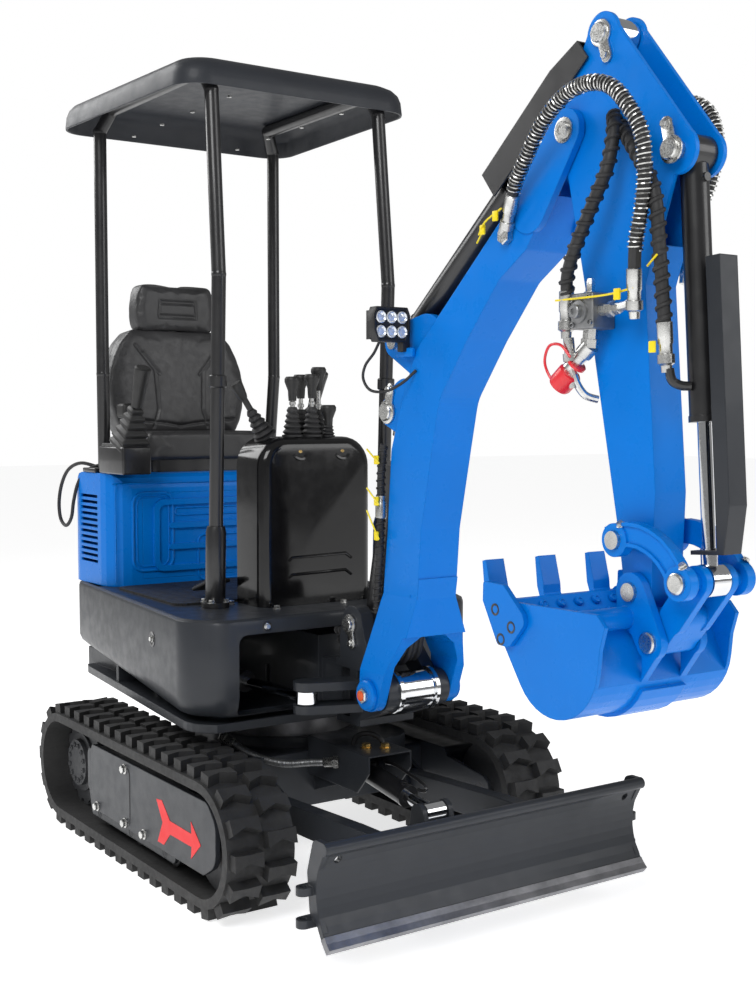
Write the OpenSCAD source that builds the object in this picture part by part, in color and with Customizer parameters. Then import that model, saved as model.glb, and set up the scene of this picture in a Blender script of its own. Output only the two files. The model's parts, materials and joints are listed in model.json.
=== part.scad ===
// Mini excavator of about one tonne with a canopy, on rubber tracks.
// Millimetres, +X to the front, +Y to the left, +Z up, standing on Z = 0.

/* [Tracks] */
// Length of a track over its lugs
track_len = 1255; // [1180:5:1350]
// Height of a track over its lugs
track_h = 360; // [340:2:380]
// Width of a track's belt
belt_w = 180; // [170:2:200]
// Width over both tracks
gauge_w = 1016; // [1000:2:1060]
// Height of a lug on the belt
lug_h = 28; // [22:1:32]
// Thickness of the belt
belt_t = 24; // [20:1:28]

/* [Blade] */
// Width of the dozer blade
blade_w = 930; // [860:10:1000]
// Radius of the blade's hollow front
blade_r = 148; // [140:1:170]
// Thickness of the blade's plate
blade_t = 14; // [10:1:18]

/* [House] */
// Height of the deck above the ground
deck_z = 690; // [680:2:720]
// Distance from the slew axis to the tail
tail_len = 785; // [765:5:820]
// Width of the house across its front corners
house_w = 900; // [880:5:940]
// Width of the house at its tail
tail_w = 690; // [660:5:740]
// Thickness of the skirt's wall
skirt_t = 12; // [8:1:20]
// Height of the seat hood above the deck
hood_h = 340; // [320:5:360]
// Thickness of the hood's wall
hood_t = 8; // [5:1:12]

/* [Canopy] */
// Height of the roof's rim above the ground
roof_z = 2062; // [1980:2:2120]
// Length of the roof
roof_len = 808; // [760:2:880]
// Width of the roof at its rear
roof_w = 790; // [740:10:860]
// Width of the roof at its front
roof_front_w = 714; // [680:2:780]
// Diameter of the roof's posts
post_d = 38; // [32:1:45]

/* [Digging arm] */
// Reach of the boom, from its foot pin to the arm's pin
boom_reach = 620; // [600:5:660]
// Rise of the boom, from its foot pin to the arm's pin
boom_rise = 1254; // [1220:2:1300]
// Width of the boom's box
boom_w = 116; // [110:2:130]
// Drop of the arm, from the boom's pin to the bucket's pin
arm_drop = 930; // [900:5:980]
// Lean of the arm at rest, outwards from where its bucket is closest
arm_lean = 4; // [0:0.5:10]
// Width of the arm
arm_w = 84; // [80:2:92]
// Width of the bucket
bucket_w = 370; // [340:10:420]
// Thickness of the plates of boom, arm and bucket
plate_t = 10; // [8:1:12]
// Diameter of the large pins
pin_d = 36; // [30:1:40]

/* [Cylinders] */
// Diameter of the digging cylinders' barrels
barrel_d = 66; // [60:1:72]
// Diameter of the digging cylinders' rods
rod_d = 34; // [28:1:38]

/* [Hidden] */
$fn = 48;

// Gap between pieces that rest on each other
seat_gap = 0.3;
// Running clearance of a pin in its bore
pin_gap = 0.05;

// Track loop
loop_r = track_h / 2;
loop_x = track_len / 2 - loop_r;
belt_r = loop_r - lug_h;
inner_r = belt_r - belt_t;
track_out = gauge_w / 2;
track_mid = track_out - belt_w / 2;

// Pivots as [x, z] in the machine's middle plane, with the slew axis at x = 0
blade_pivot = [300, 190];
blade_base = [400, 280];
blade_eye = [702, 237];
swing_x = 400;
swing_base = [-250, -280];
swing_eye = [445, -200];
swing_z = 500;
boom_foot = [605, 523];
boom_base = [465, 675];
boom_eye = boom_foot + [-22, 688];
arm_base = boom_foot + [0, 857];
arm_pivot = boom_foot + [boom_reach, boom_rise];
arm_eye = arm_pivot + [99, 169];
bucket_base = arm_pivot + [285, -105];
bucket_pivot = arm_pivot + [137, -arm_drop];
rocker_pivot = bucket_pivot + [-12, 102];
rocker_eye = bucket_pivot + [148, 22];
link_eye = bucket_pivot + [44, -96];

// Guard in front of the bucket cylinder, whose lower end is the machine's foremost point
guard_rise = 74;
guard_end = 50;
guard_taper = 90;
guard_tip = leaned(rocker_eye + [guard_rise, guard_end + guard_taper]);
frame_x = (guard_tip[0] - tail_len) / 2;

pin_r = pin_d / 2;
small_pin_r = pin_r - 4;
barrel_r = barrel_d / 2;
rod_r = rod_d / 2;

function dir(a) = [cos(a), sin(a)];
function angle_of(v) = atan2(v[1], v[0]);

// Place of a point of the upright arm once the arm leans
function leaned(p) = let (v = p - arm_pivot)
    arm_pivot + [v[0] * cos(arm_lean) - v[1] * sin(arm_lean), v[0] * sin(arm_lean) + v[1] * cos(arm_lean)];

function near_turn(t) = t > 180 ? t - 360 : t < -180 ? t + 360 : t;

// Arc of points round a centre
function arc(centre, r, a0, a1, n) = [for (i = [0:n]) centre + r * dir(a0 + (a1 - a0) * i / n)];

// One corner of an outline as an arc, its radius limited by its edges
function corner(a, b, c, r, n) =
    let (u = (a - b) / norm(a - b), w = (c - b) / norm(c - b), half = acos(u * w) / 2,
         cut = min(r / tan(half), 0.48 * norm(a - b), 0.48 * norm(c - b)),
         fillet = cut * tan(half),
         centre = b + (u + w) / norm(u + w) * fillet / sin(half),
         a0 = angle_of(b + u * cut - centre), a1 = angle_of(b + w * cut - centre))
    arc(centre, fillet, a0, a0 + near_turn(a1 - a0), n);

// Outline with its corners rounded, r is one radius or one for each corner
function rounded(pts, r, n = 4) =
    let (m = len(pts))
    [for (i = [0:m - 1]) let (ri = is_list(r) ? r[i] : r)
        each ri > 0 ? corner(pts[(i + m - 1) % m], pts[i], pts[(i + 1) % m], ri, n) : [pts[i]]];

function box_outline(x0, y0, x1, y1) = [[x0, y0], [x1, y0], [x1, y1], [x0, y1]];

module place() { translate([-frame_x, 0, 0]) children(); }

// Frame of the arm and what it carries, drawn upright
module on_arm() place() translate([arm_pivot[0], 0, arm_pivot[1]]) rotate([0, -arm_lean, 0])
    translate([-arm_pivot[0], 0, -arm_pivot[1]]) children();

// Outline in X and Z given a thickness from y0 to y1
module slab(y0, y1) {
    translate([0, y1, 0]) rotate([90, 0, 0]) linear_extrude(y1 - y0) children();
}

// Outline in Y and Z given a thickness from x0 to x1
module wall(x0, x1) {
    translate([x0, 0, 0]) rotate([90, 0, 90]) linear_extrude(x1 - x0) children();
}

module sheet(z0, z1) { translate([0, 0, z0]) linear_extrude(z1 - z0) children(); }

module both_sides() {
    children();
    mirror([0, 1, 0]) children();
}

// Round bar along Y
module bar_y(p, r, y0, y1) {
    translate([p[0], y1, p[1]]) rotate([90, 0, 0]) cylinder(r = r, h = y1 - y0);
}

// Round bar between two points in space
module rod_between(p, q, r) {
    v = q - p;
    translate(p) rotate([0, acos(v[2] / norm(v)), atan2(v[1], v[0])]) cylinder(r = r, h = norm(v));
}

// Bent tube along a list of points
module bent_tube(pts, r) {
    for (i = [0:len(pts) - 2]) rod_between(pts[i], pts[i + 1], r);
    for (i = [1:len(pts) - 2]) translate(pts[i]) sphere(r * 1.04);
}

// Outline of a bar with round ends of different radii
module tapered_bar(p, rp, q, rq) {
    a = angle_of(q - p);
    b = acos((rp - rq) / norm(q - p));
    polygon([p + rp * dir(a + b), q + rq * dir(a + b), q + rq * dir(a - b), p + rp * dir(a - b)]);
    translate(p) circle(rp);
    translate(q) circle(rq);
}

module hole(p, r) { translate(p) circle(r); }

// Local frame with +X along the line from p to q, both [x, z]
module along(p, q) {
    translate([p[0], 0, p[1]]) rotate([0, -angle_of(q - p), 0]) children();
}

module bar_x(x0, x1, r) { translate([x0, 0, 0]) rotate([0, 90, 0]) cylinder(r = r, h = x1 - x0); }

// Barrel of a hydraulic cylinder that starts at the origin and points along +X
module barrel(length, r, eye_r, eye_w, bore_r, rod_bore, rod_in) {
    port = r * 0.32;
    cap = r * 0.45;
    cap_r = r * 1.06;
    difference() {
        union() {
            bar_y([0, 0], eye_r, -eye_w / 2, eye_w / 2);
            bar_x(eye_r * 0.7, length - cap, r);
            bar_x(length - cap, length, cap_r);
            for (x = [eye_r + port * 2, length - cap * 2])
                translate([x, 0, 0]) cylinder(r = port, h = r + port * 0.6);
        }
        bar_y([0, 0], bore_r, -eye_w, eye_w);
        bar_x(rod_in, length + cap, rod_bore);
    }
}

// Rod of a hydraulic cylinder, its eye at x = eye_x
module piston_rod(inner_x, eye_x, r, eye_r, eye_w, bore_r) {
    difference() {
        union() {
            bar_x(inner_x, eye_x - eye_r * 0.7, r);
            bar_x(eye_x - eye_r * 1.9, eye_x - eye_r * 0.6, r * 1.25);
            bar_y([eye_x, 0], eye_r, -eye_w / 2, eye_w / 2);
        }
        bar_y([eye_x, 0], bore_r, -eye_w, eye_w);
    }
}

// Undercarriage
body_x = 230;
body_low = 150;
body_top = 300;
ring_z = 330;
house_z = 400;
beam_x = [-130, 130];
beam_half = 45;
frame_in = track_out - belt_w + 24;
frame_out = track_out - 28;
body_y = frame_in - 52;
cover_y = track_out - 15;
ear_t = 14;
blade_arm_t = 40;
blade_arm_y = 220;
blade_pin_r = 16;
blade_eye_r = 27;
blade_eye_w = 60;

module car_body() color("dimgray") place() difference() {
    union() {
        sheet(body_low, body_top)
            polygon(rounded(box_outline(-body_x, -body_y, body_x, body_y), 90));
        translate([0, 0, body_top]) cylinder(r = ring_r + 15, h = ring_z - body_top - seat_gap);
        for (x = beam_x)
            slab(-frame_in, frame_in)
                polygon(rounded(box_outline(x - beam_half, 165, x + beam_half, 255), 12));
        for (s = [-1, 1], k = [-1, 1])
            let (y = s * blade_arm_y + k * (blade_arm_t + ear_t + 2 * seat_gap) / 2)
            slab(y - ear_t / 2, y + ear_t / 2)
                tapered_bar([body_x - 72, 215], 58, blade_pivot, 34);
        both_sides() slab(blade_eye_w / 2 + 2, blade_eye_w / 2 + 2 + ear_t)
            tapered_bar([body_x - 40, 235], 55, blade_base, 30);
    }
    bar_y(blade_pivot, blade_pin_r + pin_gap, -house_w, house_w);
    bar_y(blade_base, blade_pin_r + pin_gap, -house_w, house_w);
    translate([0, 0, body_low - 1]) cylinder(r = 90, h = ring_z);
}

ring_r = 190;
module slew_ring() color("gray") place() difference() {
    translate([0, 0, ring_z]) cylinder(r = ring_r, h = house_z - ring_z - seat_gap);
    translate([0, 0, ring_z - 1]) cylinder(r = 110, h = house_z);
}

beam_low = 140;
beam_top = 262;
wheel_r = inner_r - 0.8;
beam_gap = 25;
beam_end = loop_x - wheel_r - beam_gap;
roller_r = 40;
roller_z = lug_h + belt_t + roller_r + seat_gap;
roller_step = beam_end - 85;
roller_x = [-roller_step, 0, roller_step];
axle_r = 18;
web_t = 10;
plate_fore = loop_x + 65;
plate_aft = -loop_x + 211;
plate_low = 103;
plate_high = 284;

// One side's frame, on the machine's left; the right one is its mirror image
module track_frame() difference() {
    union() {
        slab(frame_in, frame_out) polygon(rounded(
            box_outline(-beam_end, beam_low, beam_end, beam_top), 18));
        for (y = [frame_in, frame_out - web_t])
            slab(y, y + web_t) polygon(rounded([[-beam_end + 30, 76], [beam_end - 30, 76],
                [beam_end - 5, beam_low + 20], [-beam_end + 5, beam_low + 20]], 14));
        slab(frame_in, frame_in + web_t)
            tapered_bar([beam_end - 60, 200], 50, [loop_x, loop_r], 40);
        slab(frame_out, cover_y) polygon(rounded([[plate_aft, plate_low],
            [plate_fore - 63, plate_low], [plate_fore, plate_low + 37], [plate_fore, plate_high - 44],
            [plate_fore - 43, plate_high], [plate_aft, plate_high]], [12, 20, 50, 50, 30, 12]));
        slab(frame_in, frame_in + web_t)
            tapered_bar([-beam_end + 64, 198], 58, [-loop_x, loop_r], 90);
    }
    for (x = [-loop_x, loop_x]) bar_y([x, loop_r], axle_r + pin_gap, frame_in - 1, frame_out + 1);
    for (x = roller_x) bar_y([x, roller_z], axle_r - 4 + pin_gap, frame_in - 1, frame_out + 1);
}

module track_frame_left() color("dimgray") place() track_frame();
module track_frame_right() color("dimgray") place() mirror([0, 1, 0]) track_frame();

function loop_outline(r, n = 20) =
    concat(arc([loop_x, loop_r], r, -90, 90, n), arc([-loop_x, loop_r], r, 90, 270, n));

// Point and outward angle of the belt's face at a distance along the loop
function belt_at(s) = let (run = 2 * loop_x, turn = PI * belt_r)
    s < run ? [[s - loop_x, loop_r - belt_r], -90]
    : s < run + turn ? let (t = 180 * (s - run) / turn - 90) [[loop_x, loop_r] + belt_r * dir(t), t]
    : s < 2 * run + turn ? [[loop_x - s + run + turn, loop_r + belt_r], 90]
    : let (t = 180 * (s - 2 * run - turn) / turn + 90) [[-loop_x, loop_r] + belt_r * dir(t), t];

// Two staggered rows of bow-tie lugs, moulded into the belt
lug_step = 72;
lug_len = 38;
lug_waist = 20;
lug_skew = 7;
lug_gap = 7;
lug_root = 3;
tip_drop = 2;
belt_run = 4 * loop_x + 2 * PI * belt_r;
lug_count = round(belt_run / lug_step);
lug_w = belt_w / 2 - 2 * lug_gap;
lug_shape = [[-lug_len / 2 + lug_skew, lug_w / 2], [lug_len / 2 + lug_skew, lug_w / 2], [lug_waist / 2, 0],
    [lug_len / 2 + lug_skew, -lug_w / 2], [-lug_len / 2 + lug_skew, -lug_w / 2], [-lug_waist / 2, 0]];
module lug(s, y) {
    spot = belt_at(s);
    height = abs(spot[1]) == 90 ? lug_h : lug_h - tip_drop;
    translate([spot[0][0], y, spot[0][1]]) rotate([0, 90 - spot[1], 0]) translate([0, 0, -lug_root])
        linear_extrude(height + lug_root) polygon(lug_shape);
}

module track() {
    slab(track_out - belt_w, track_out) difference() {
        polygon(loop_outline(belt_r));
        polygon(loop_outline(inner_r));
    }
    for (i = [0:lug_count - 1], row = [0, 1])
        lug((i + row / 2 + 0.25) * belt_run / lug_count, track_mid + (row - 0.5) * belt_w / 2);
}

module track_left() color("black") place() track();
module track_right() color("black") place() mirror([0, 1, 0]) track();

hub_r = 85;
sprocket_teeth = 15;
tooth_r = 12;
module wheels() {
    // Drive sprocket and its motor hub
    slab(track_mid - 12, track_mid + 12) difference() {
        hole([-loop_x, loop_r], wheel_r);
        for (i = [0:sprocket_teeth - 1])
            hole([-loop_x, loop_r] + wheel_r * dir(i * 360 / sprocket_teeth), tooth_r);
    }
    bar_y([-loop_x, loop_r], hub_r, frame_in + web_t + seat_gap, track_mid + 20);
    bar_y([-loop_x, loop_r], hub_r - 18, track_mid, track_mid + 34);
    bar_y([-loop_x, loop_r], axle_r, frame_in, track_mid);
    // Front idler
    bar_y([loop_x, loop_r], wheel_r, track_mid - 32, track_mid + 32);
    bar_y([loop_x, loop_r], axle_r, frame_in, frame_out - seat_gap);
    // Bottom rollers
    for (x = roller_x) {
        bar_y([x, roller_z], roller_r, track_mid - 38, track_mid + 38);
        bar_y([x, roller_z], axle_r - 4, frame_in, frame_out - seat_gap);
    }
}
module wheels_left() color("dimgray") place() wheels();
module wheels_right() color("dimgray") place() mirror([0, 1, 0]) wheels();

module frame_pins() color("silver") place() {
    for (s = [-1, 1])
        let (half = blade_arm_t / 2 + ear_t + 6)
        bar_y(blade_pivot, blade_pin_r, s * blade_arm_y - half, s * blade_arm_y + half);
    bar_y(blade_base, blade_pin_r, -blade_eye_w / 2 - ear_t - 8, blade_eye_w / 2 + ear_t + 8);
}

// Folded cover over the foot of the blade cylinder
cover_t = 4;
cover_z = 340;
cover_half = blade_eye_w / 2 + ear_t + 22;
module blade_cylinder_cover() color("dimgray") place() {
    slab(-cover_half, cover_half) polygon(box_outline(body_x + seat_gap, cover_z, 524, cover_z + cover_t));
    both_sides() slab(cover_half - cover_t, cover_half)
        polygon([[body_x + seat_gap, 240], [470, 240], [524, 300], [524, cover_z + 1], [body_x + seat_gap, cover_z + 1]]);
}

// Blade
blade_c = [1065, 195];
blade_a = [217, 141];
edge_a = 229;
lug_bore_r = 8;
function blade_sector(r0, r1, a0, a1, n) = concat(arc(blade_c, r0, a0, a1, n), arc(blade_c, r1, a1, a0, n));

module blade() color("dimgray") place() difference() {
    union() {
        slab(-blade_w / 2, blade_w / 2)
            polygon(blade_sector(blade_r, blade_r + blade_t, blade_a[0], blade_a[1], 10));
        bar_y(blade_c + (blade_r + blade_t / 2) * dir(blade_a[1]), blade_t, -blade_w / 2, blade_w / 2);
        // End plates
        both_sides() slab(blade_w / 2 - 14, blade_w / 2) polygon(rounded([[940, 109], [890, 140],
            [880, 230], [905, 306], [956, 306], [948, 285], [918, 230], [915, 160], [944, 112]],
            [4, 20, 30, 16, 10, 4, 30, 30, 2]));
        // Push arms
        both_sides() slab(blade_arm_y - blade_arm_t / 2, blade_arm_y + blade_arm_t / 2) {
            tapered_bar(blade_pivot, 32, [700, 205], 36);
            polygon([[690, 169], [908, 145], [908, 245], [690, 241]]);
        }
        // Cross beam and the eyes that take the cylinder's rod
        slab(-blade_arm_y, blade_arm_y) polygon(rounded(box_outline(655, 150, 760, 196), 10));
        both_sides() slab(blade_eye_w / 2 + 1.5, blade_eye_w / 2 + 1.5 + ear_t)
            tapered_bar([705, 180], 40, blade_eye, 26);
        // Lugs for a blade extension
        both_sides() for (z = [115, 185])
            sheet(z, z + 18) tapered_bar([890, blade_w / 2 - 6], 16, [890, blade_w / 2 + 16], 16);
    }
    bar_y(blade_pivot, blade_pin_r + pin_gap, -house_w, house_w);
    both_sides() translate([890, blade_w / 2 + 16, 0]) cylinder(r = lug_bore_r, h = track_h);
    both_sides() translate([850, blade_w / 2 - 45, 262]) rotate([0, 90, 0]) cylinder(r = 9, h = 200);
}

module cutting_edge() color("gray") place() slab(-blade_w / 2, blade_w / 2)
    polygon(blade_sector(blade_r - 2, blade_r + blade_t + 2, edge_a, blade_a[0] + 0.15, 2));

blade_barrel_len = 205;
blade_rod_r = 15;
blade_barrel_r = 27;
module blade_cylinder() color("black") place() along(blade_base, blade_eye)
    barrel(blade_barrel_len, blade_barrel_r, blade_eye_r, blade_eye_w, blade_pin_r + pin_gap,
           blade_rod_r + seat_gap, 45);

module blade_rod() color("silver") place() along(blade_base, blade_eye)
    piston_rod(90, norm(blade_eye - blade_base), blade_rod_r, 24, blade_eye_w - 4, blade_pin_r);

// House
front_x = 335;
skirt_low = 430;
tail_low = 470;
weight_x = -500;
weight_t = 70;
function house_outline(d) = rounded([[front_x - d, -house_w / 2 + 70 + d], [front_x - 90, -house_w / 2 + d],
    [-tail_len + 90, -tail_w / 2 + d], [-tail_len + d, -tail_w / 2 + 90 + d * 0.4],
    [-tail_len + d, tail_w / 2 - 90 - d * 0.4], [-tail_len + 90, tail_w / 2 - d],
    [front_x - 90, house_w / 2 - d], [front_x - d, house_w / 2 - 70 - d]],
    [60, 90, 90, 110, 110, 90, 90, 60]);

neck_half = 60;
boss_r = 56;
boss_z = [440, 560];
king_r = 30;
module turntable() color("dimgray") place() difference() {
    union() {
        sheet(house_z, house_z + 22) intersection() {
            polygon(house_outline(skirt_t + 12));
            polygon(box_outline(-tail_len + weight_t + 20, -house_w, front_x - 40, house_w));
        }
        // Rails under the counterweight
        both_sides() sheet(house_z + 5, tail_low - seat_gap)
            polygon(box_outline(-tail_len + 40, 240, weight_x + 60, 290));
        sheet(house_z + 10, 620) polygon(box_outline(-300, -neck_half, front_x - 60, neck_half));
        sheet(boss_z[0], boss_z[1]) {
            polygon(box_outline(front_x - 100, -neck_half + 12, swing_x, neck_half - 12));
            hole([swing_x, 0], boss_r);
        }
        // Ears that hold the foot of the swing cylinder
        for (z = [swing_z - 50, swing_z + 34])
            sheet(z, z + 16) tapered_bar([swing_base[0] - 30, -neck_half], 60, swing_base, 30);
        // Stays that carry the deck
        for (x = [-380, -60, 200], s = [-1, 1])
            let (y = s * (house_w / 2 - 125))
            sheet(house_z + 10, deck_z - 12 - seat_gap) polygon(box_outline(x - 8, y - 25, x + 8, y + 25));
    }
    translate([swing_x, 0, 0]) cylinder(r = king_r + pin_gap, h = deck_z);
    translate([swing_base[0], swing_base[1], 0]) cylinder(r = small_pin_r + pin_gap, h = deck_z);
    translate([0, 0, house_z - 1]) cylinder(r = 60, h = 100);
}

// Side walls of the house, with the front left open for the swing gear
module skirt() color("dimgray") place() difference() {
    sheet(skirt_low, deck_z) difference() {
        polygon(house_outline(0));
        polygon(house_outline(skirt_t));
    }
    sheet(0, deck_z + 1) polygon(box_outline(-tail_len - 1, -house_w, weight_x, house_w));
    sheet(0, deck_z - 40) polygon(box_outline(front_x - 80, -330, front_x + 1, 170));
    sheet(0, deck_z + 1) polygon(box_outline(front_x - 80, -6, front_x + 1, 6));
}

module counterweight() color("dimgray") place() sheet(tail_low, deck_z) difference() {
    intersection() {
        polygon(house_outline(0));
        polygon(box_outline(-tail_len - 1, -house_w, weight_x - seat_gap, house_w));
    }
    polygon(house_outline(weight_t));
}

module deck() color("dimgray") place() sheet(deck_z - 12, deck_z) intersection() {
    polygon(house_outline(skirt_t + seat_gap));
    polygon(box_outline(weight_x + seat_gap, -house_w, front_x, house_w));
}

mat_t = 6;
hood_front_x = -445;
hood_rear_x = -tail_len + 30;
hood_half = 340;
module floor_mat() color("black") place() sheet(deck_z + seat_gap, deck_z + mat_t)
    polygon(rounded([[hood_front_x + 20, -330], [20, -350], [20, 350], [hood_front_x + 20, 330]], 30));

hood_top = deck_z + hood_h;
module hood_form(d) intersection() {
    sheet(deck_z - 1, hood_top - d) polygon(rounded(box_outline(hood_rear_x + d, -hood_half + d,
        hood_front_x - d, hood_half - d), 70 - d));
    slab(-hood_half, hood_half) polygon(rounded([[hood_rear_x + d, 0], [hood_front_x - d, 0],
        [hood_front_x - d, hood_top - d], [hood_rear_x + 40 + d, hood_top - d]], [0, 0, 45 - d, 60 - d]));
}

front_half = 235;
grille_low = 66;
grille_step = 18;
grille_x = 85;
grille_len = 130;
front_low = deck_z + 20;
front_high = hood_top - 60;
module hood() color("dodgerblue") place() difference() {
    intersection() {
        hood_form(0);
        sheet(deck_z + seat_gap, hood_top) polygon(box_outline(-tail_len, -house_w, 0, house_w));
    }
    hood_form(hood_t);
    wall(hood_front_x - 30, hood_front_x + 1)
        polygon(box_outline(-front_half, front_low, front_half, front_high));
    // Grille in both sides
    for (z = [deck_z + grille_low:grille_step:hood_top - grille_low])
        translate([hood_rear_x + grille_x, -hood_half - 1, z])
            cube([grille_len, 2 * hood_half + 2, grille_step / 2]);
}

module hood_front() color("dodgerblue") place() {
    wall(hood_front_x - hood_t, hood_front_x) polygon(box_outline(-front_half + seat_gap,
        front_low + seat_gap, front_half - seat_gap, front_high - seat_gap));
    wall(hood_front_x, hood_front_x + 8) difference() {
        polygon(rounded(box_outline(-200, front_low + 20, 200, front_high - 20), 30));
        polygon(rounded(box_outline(-182, front_low + 38, 182, front_high - 38), 20));
    }
    for (z = [front_low + 85, front_low + 150])
        wall(hood_front_x, hood_front_x + 8) polygon(rounded(box_outline(-150, z, 150, z + 18), 8));
}

module engine() color("gray") place() sheet(house_z + 22 + seat_gap, hood_top - 60)
    polygon(rounded(box_outline(hood_rear_x + 60, -230, hood_front_x - 60, 200), 20));

// Seat
seat_half = 215;
cushion_x = [-745, -465];
cushion_top = hood_top + 115;
module seat_base() color("black") place()
    sheet(hood_top + seat_gap, hood_top + 40) polygon(rounded(box_outline(-740, -180, -500, 180), 30));

module seat_cushion() color("black") place() slab(-seat_half, seat_half)
    polygon(rounded([[cushion_x[0], hood_top + 40 + seat_gap], [cushion_x[1] - 10, hood_top + 40 + seat_gap],
        [cushion_x[1], hood_top + 75], [cushion_x[1] - 20, cushion_top], [cushion_x[0], cushion_top]],
        [10, 20, 20, 30, 10]));

back_low = [-690, cushion_top + seat_gap];
back_high = [-722, 1475];
module seat_back() color("black") place() intersection() {
    slab(-240, 240) polygon(rounded([back_low + [-60, 0], back_low + [45, 0], back_high + [40, 0],
        back_high + [-40, 0]], [20, 25, 25, 20]));
    wall(-tail_len - 60, 0) polygon(rounded([[-200, back_low[1]], [200, back_low[1]], [240, 1300],
        [190, 1460], [120, 1476], [-120, 1476], [-190, 1460], [-240, 1300]],
        [60, 60, 80, 60, 20, 20, 60, 80]));
}

module headrest() color("black") place() slab(-135, 135)
    polygon(rounded([[-760, 1475.5], [-682, 1475.5], [-690, 1617], [-750, 1617]], [12, 12, 28, 28]));

// Controls
pod_y = 300;
module pod_form() slab(pod_y - 42, pod_y + 42)
    polygon(rounded([[-520, hood_top + seat_gap], [-400, hood_top + seat_gap], [-325, hood_top + 60],
        [-345, hood_top + 105], [-520, hood_top + 75]], [8, 10, 20, 14, 20]));

module joystick_pods() color("black") place() both_sides() pod_form();

stick_foot = [-390, hood_top + 80];
stick_top = [-285, 1356];
module joysticks() color("black") place() both_sides() difference() {
    v = stick_top - stick_foot;
    translate([stick_foot[0], pod_y, stick_foot[1]]) rotate([0, 90 - angle_of(v), 0]) {
        cylinder(r1 = 38, r2 = 16, h = 92);
        translate([0, 0, 90]) cylinder(r = 9, h = norm(v) - 150);
        translate([0, 0, norm(v) - 75]) cylinder(r1 = 17, r2 = 24, h = 55);
        translate([0, 0, norm(v) - 22]) sphere(24.5);
    }
    translate([0, 0, seat_gap]) pod_form();
}

console_x = [46, 185];
console_y = [-179, 173];
dimple_y = [-59, 75];
dimple_r = 20;
rib_z = [774, 820];
console_top = 1145;
module console() color("black") place() difference() {
    union() {
      intersection() {
        wall(console_x[0], console_x[1]) polygon(rounded([[console_y[0], deck_z + seat_gap],
            [console_y[1], deck_z + seat_gap], [console_y[1] - 10, console_top],
            [console_y[0] + 10, console_top]], [8, 8, 70, 70], 6));
        slab(console_y[0], console_y[1]) polygon(rounded([[console_x[0], deck_z], [console_x[1], deck_z],
            [console_x[1] - 12, console_top], [console_x[0] + 20, console_top]], [0, 0, 35, 25], 6));
      }
      // Ribs low on the front
      for (z = rib_z) wall(console_x[1] - 20, console_x[1] + 4) polygon(box_outline(-83, z, 93, z + 9));
    }
    // Dimples for the cover's two screws
    for (y = dimple_y) translate([console_x[1] - 20, y, console_top - 27])
        rotate([0, 90, 0]) cylinder(r = dimple_r, h = 40);
    wall(console_x[0] - 1, console_x[1] - 25) polygon(rounded([[console_y[0] + 20, deck_z - 1],
        [console_y[1] - 20, deck_z - 1], [console_y[1] - 30, console_top - 40],
        [console_y[0] + 30, console_top - 40]], [0, 0, 50, 50], 6));
}

// Levers as place in plan, height of the knob and radius of the boot
levers = [[135, -54, 1308, 27], [135, 8, 1316, 27], [76, 8, 1316, 25], [76, 66, 1338, 25], [137, 60, 1232, 17]];
side_lever = [[95, -112], [95, -205, 1292]];
module console_levers() color("black") place() {
    for (v = levers) translate([v[0], v[1], console_top + seat_gap]) {
        cylinder(r1 = v[3], r2 = v[3] * 0.55, h = v[3] * 2.6);
        translate([0, 0, v[3] * 2.5]) cylinder(r = 7, h = v[2] - console_top - v[3] * 2.5 - 30);
        translate([0, 0, v[2] - console_top - 62]) cylinder(r1 = 12, r2 = 17, h = 52);
        translate([0, 0, v[2] - console_top - 17]) sphere(17.5);
    }
    // Lever that leans out over the console's right side
    translate([side_lever[0][0], side_lever[0][1], console_top + seat_gap]) cylinder(r = 24, h = 16);
    rod_between([side_lever[0][0], side_lever[0][1], console_top + 10], side_lever[1], 9);
    translate(side_lever[1]) sphere(17);
    // Foot pedals in front of the operator
    for (y = [-215, 150]) translate([-90, y - 35, deck_z + mat_t + seat_gap])
        rotate([0, -18, 0]) cube([110, 70, 10]);
}

// Canopy
roof_x = [-690, -690 + roof_len];
roof_crown = 88;
roof_side = 52;
rail_z = roof_z - 5;
module roof_form(d, drop) intersection() {
    sheet(roof_z - drop, roof_z + roof_crown - d) polygon(rounded([[roof_x[0] + d, -roof_w / 2 + d],
        [roof_x[1] - d, -roof_front_w / 2 + d], [roof_x[1] - d, roof_front_w / 2 - d],
        [roof_x[0] + d, roof_w / 2 - d]], 80 - d, 6));
    slab(-roof_w, roof_w) polygon(rounded([[roof_x[0] + d, roof_z - 60 - drop], [roof_x[1] - d, roof_z - 20 - drop],
        [roof_x[1] - d, roof_z + roof_side - d], [roof_x[1] - 60, roof_z + roof_crown - d],
        [roof_x[0] + 60, roof_z + roof_crown - d], [roof_x[0] + d, roof_z + roof_side - 10 - d]],
        [0, 0, 40, 60, 60, 40], 5));
    wall(roof_x[0] - 1, roof_x[1] + 1) polygon(rounded([[-roof_w / 2 + d, roof_z - 60 - drop],
        [roof_w / 2 - d, roof_z - 60 - drop], [roof_w / 2 - d, roof_z + roof_side - d],
        [roof_w / 2 - 80, roof_z + roof_crown - d], [-roof_w / 2 + 80, roof_z + roof_crown - d],
        [-roof_w / 2 + d, roof_z + roof_side - d]], [0, 0, 40, 80, 80, 40], 5));
}

roof_t = 9;
module canopy_roof() color("dimgray") place() difference() {
    roof_form(0, 0);
    roof_form(roof_t, post_d);
}

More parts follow.
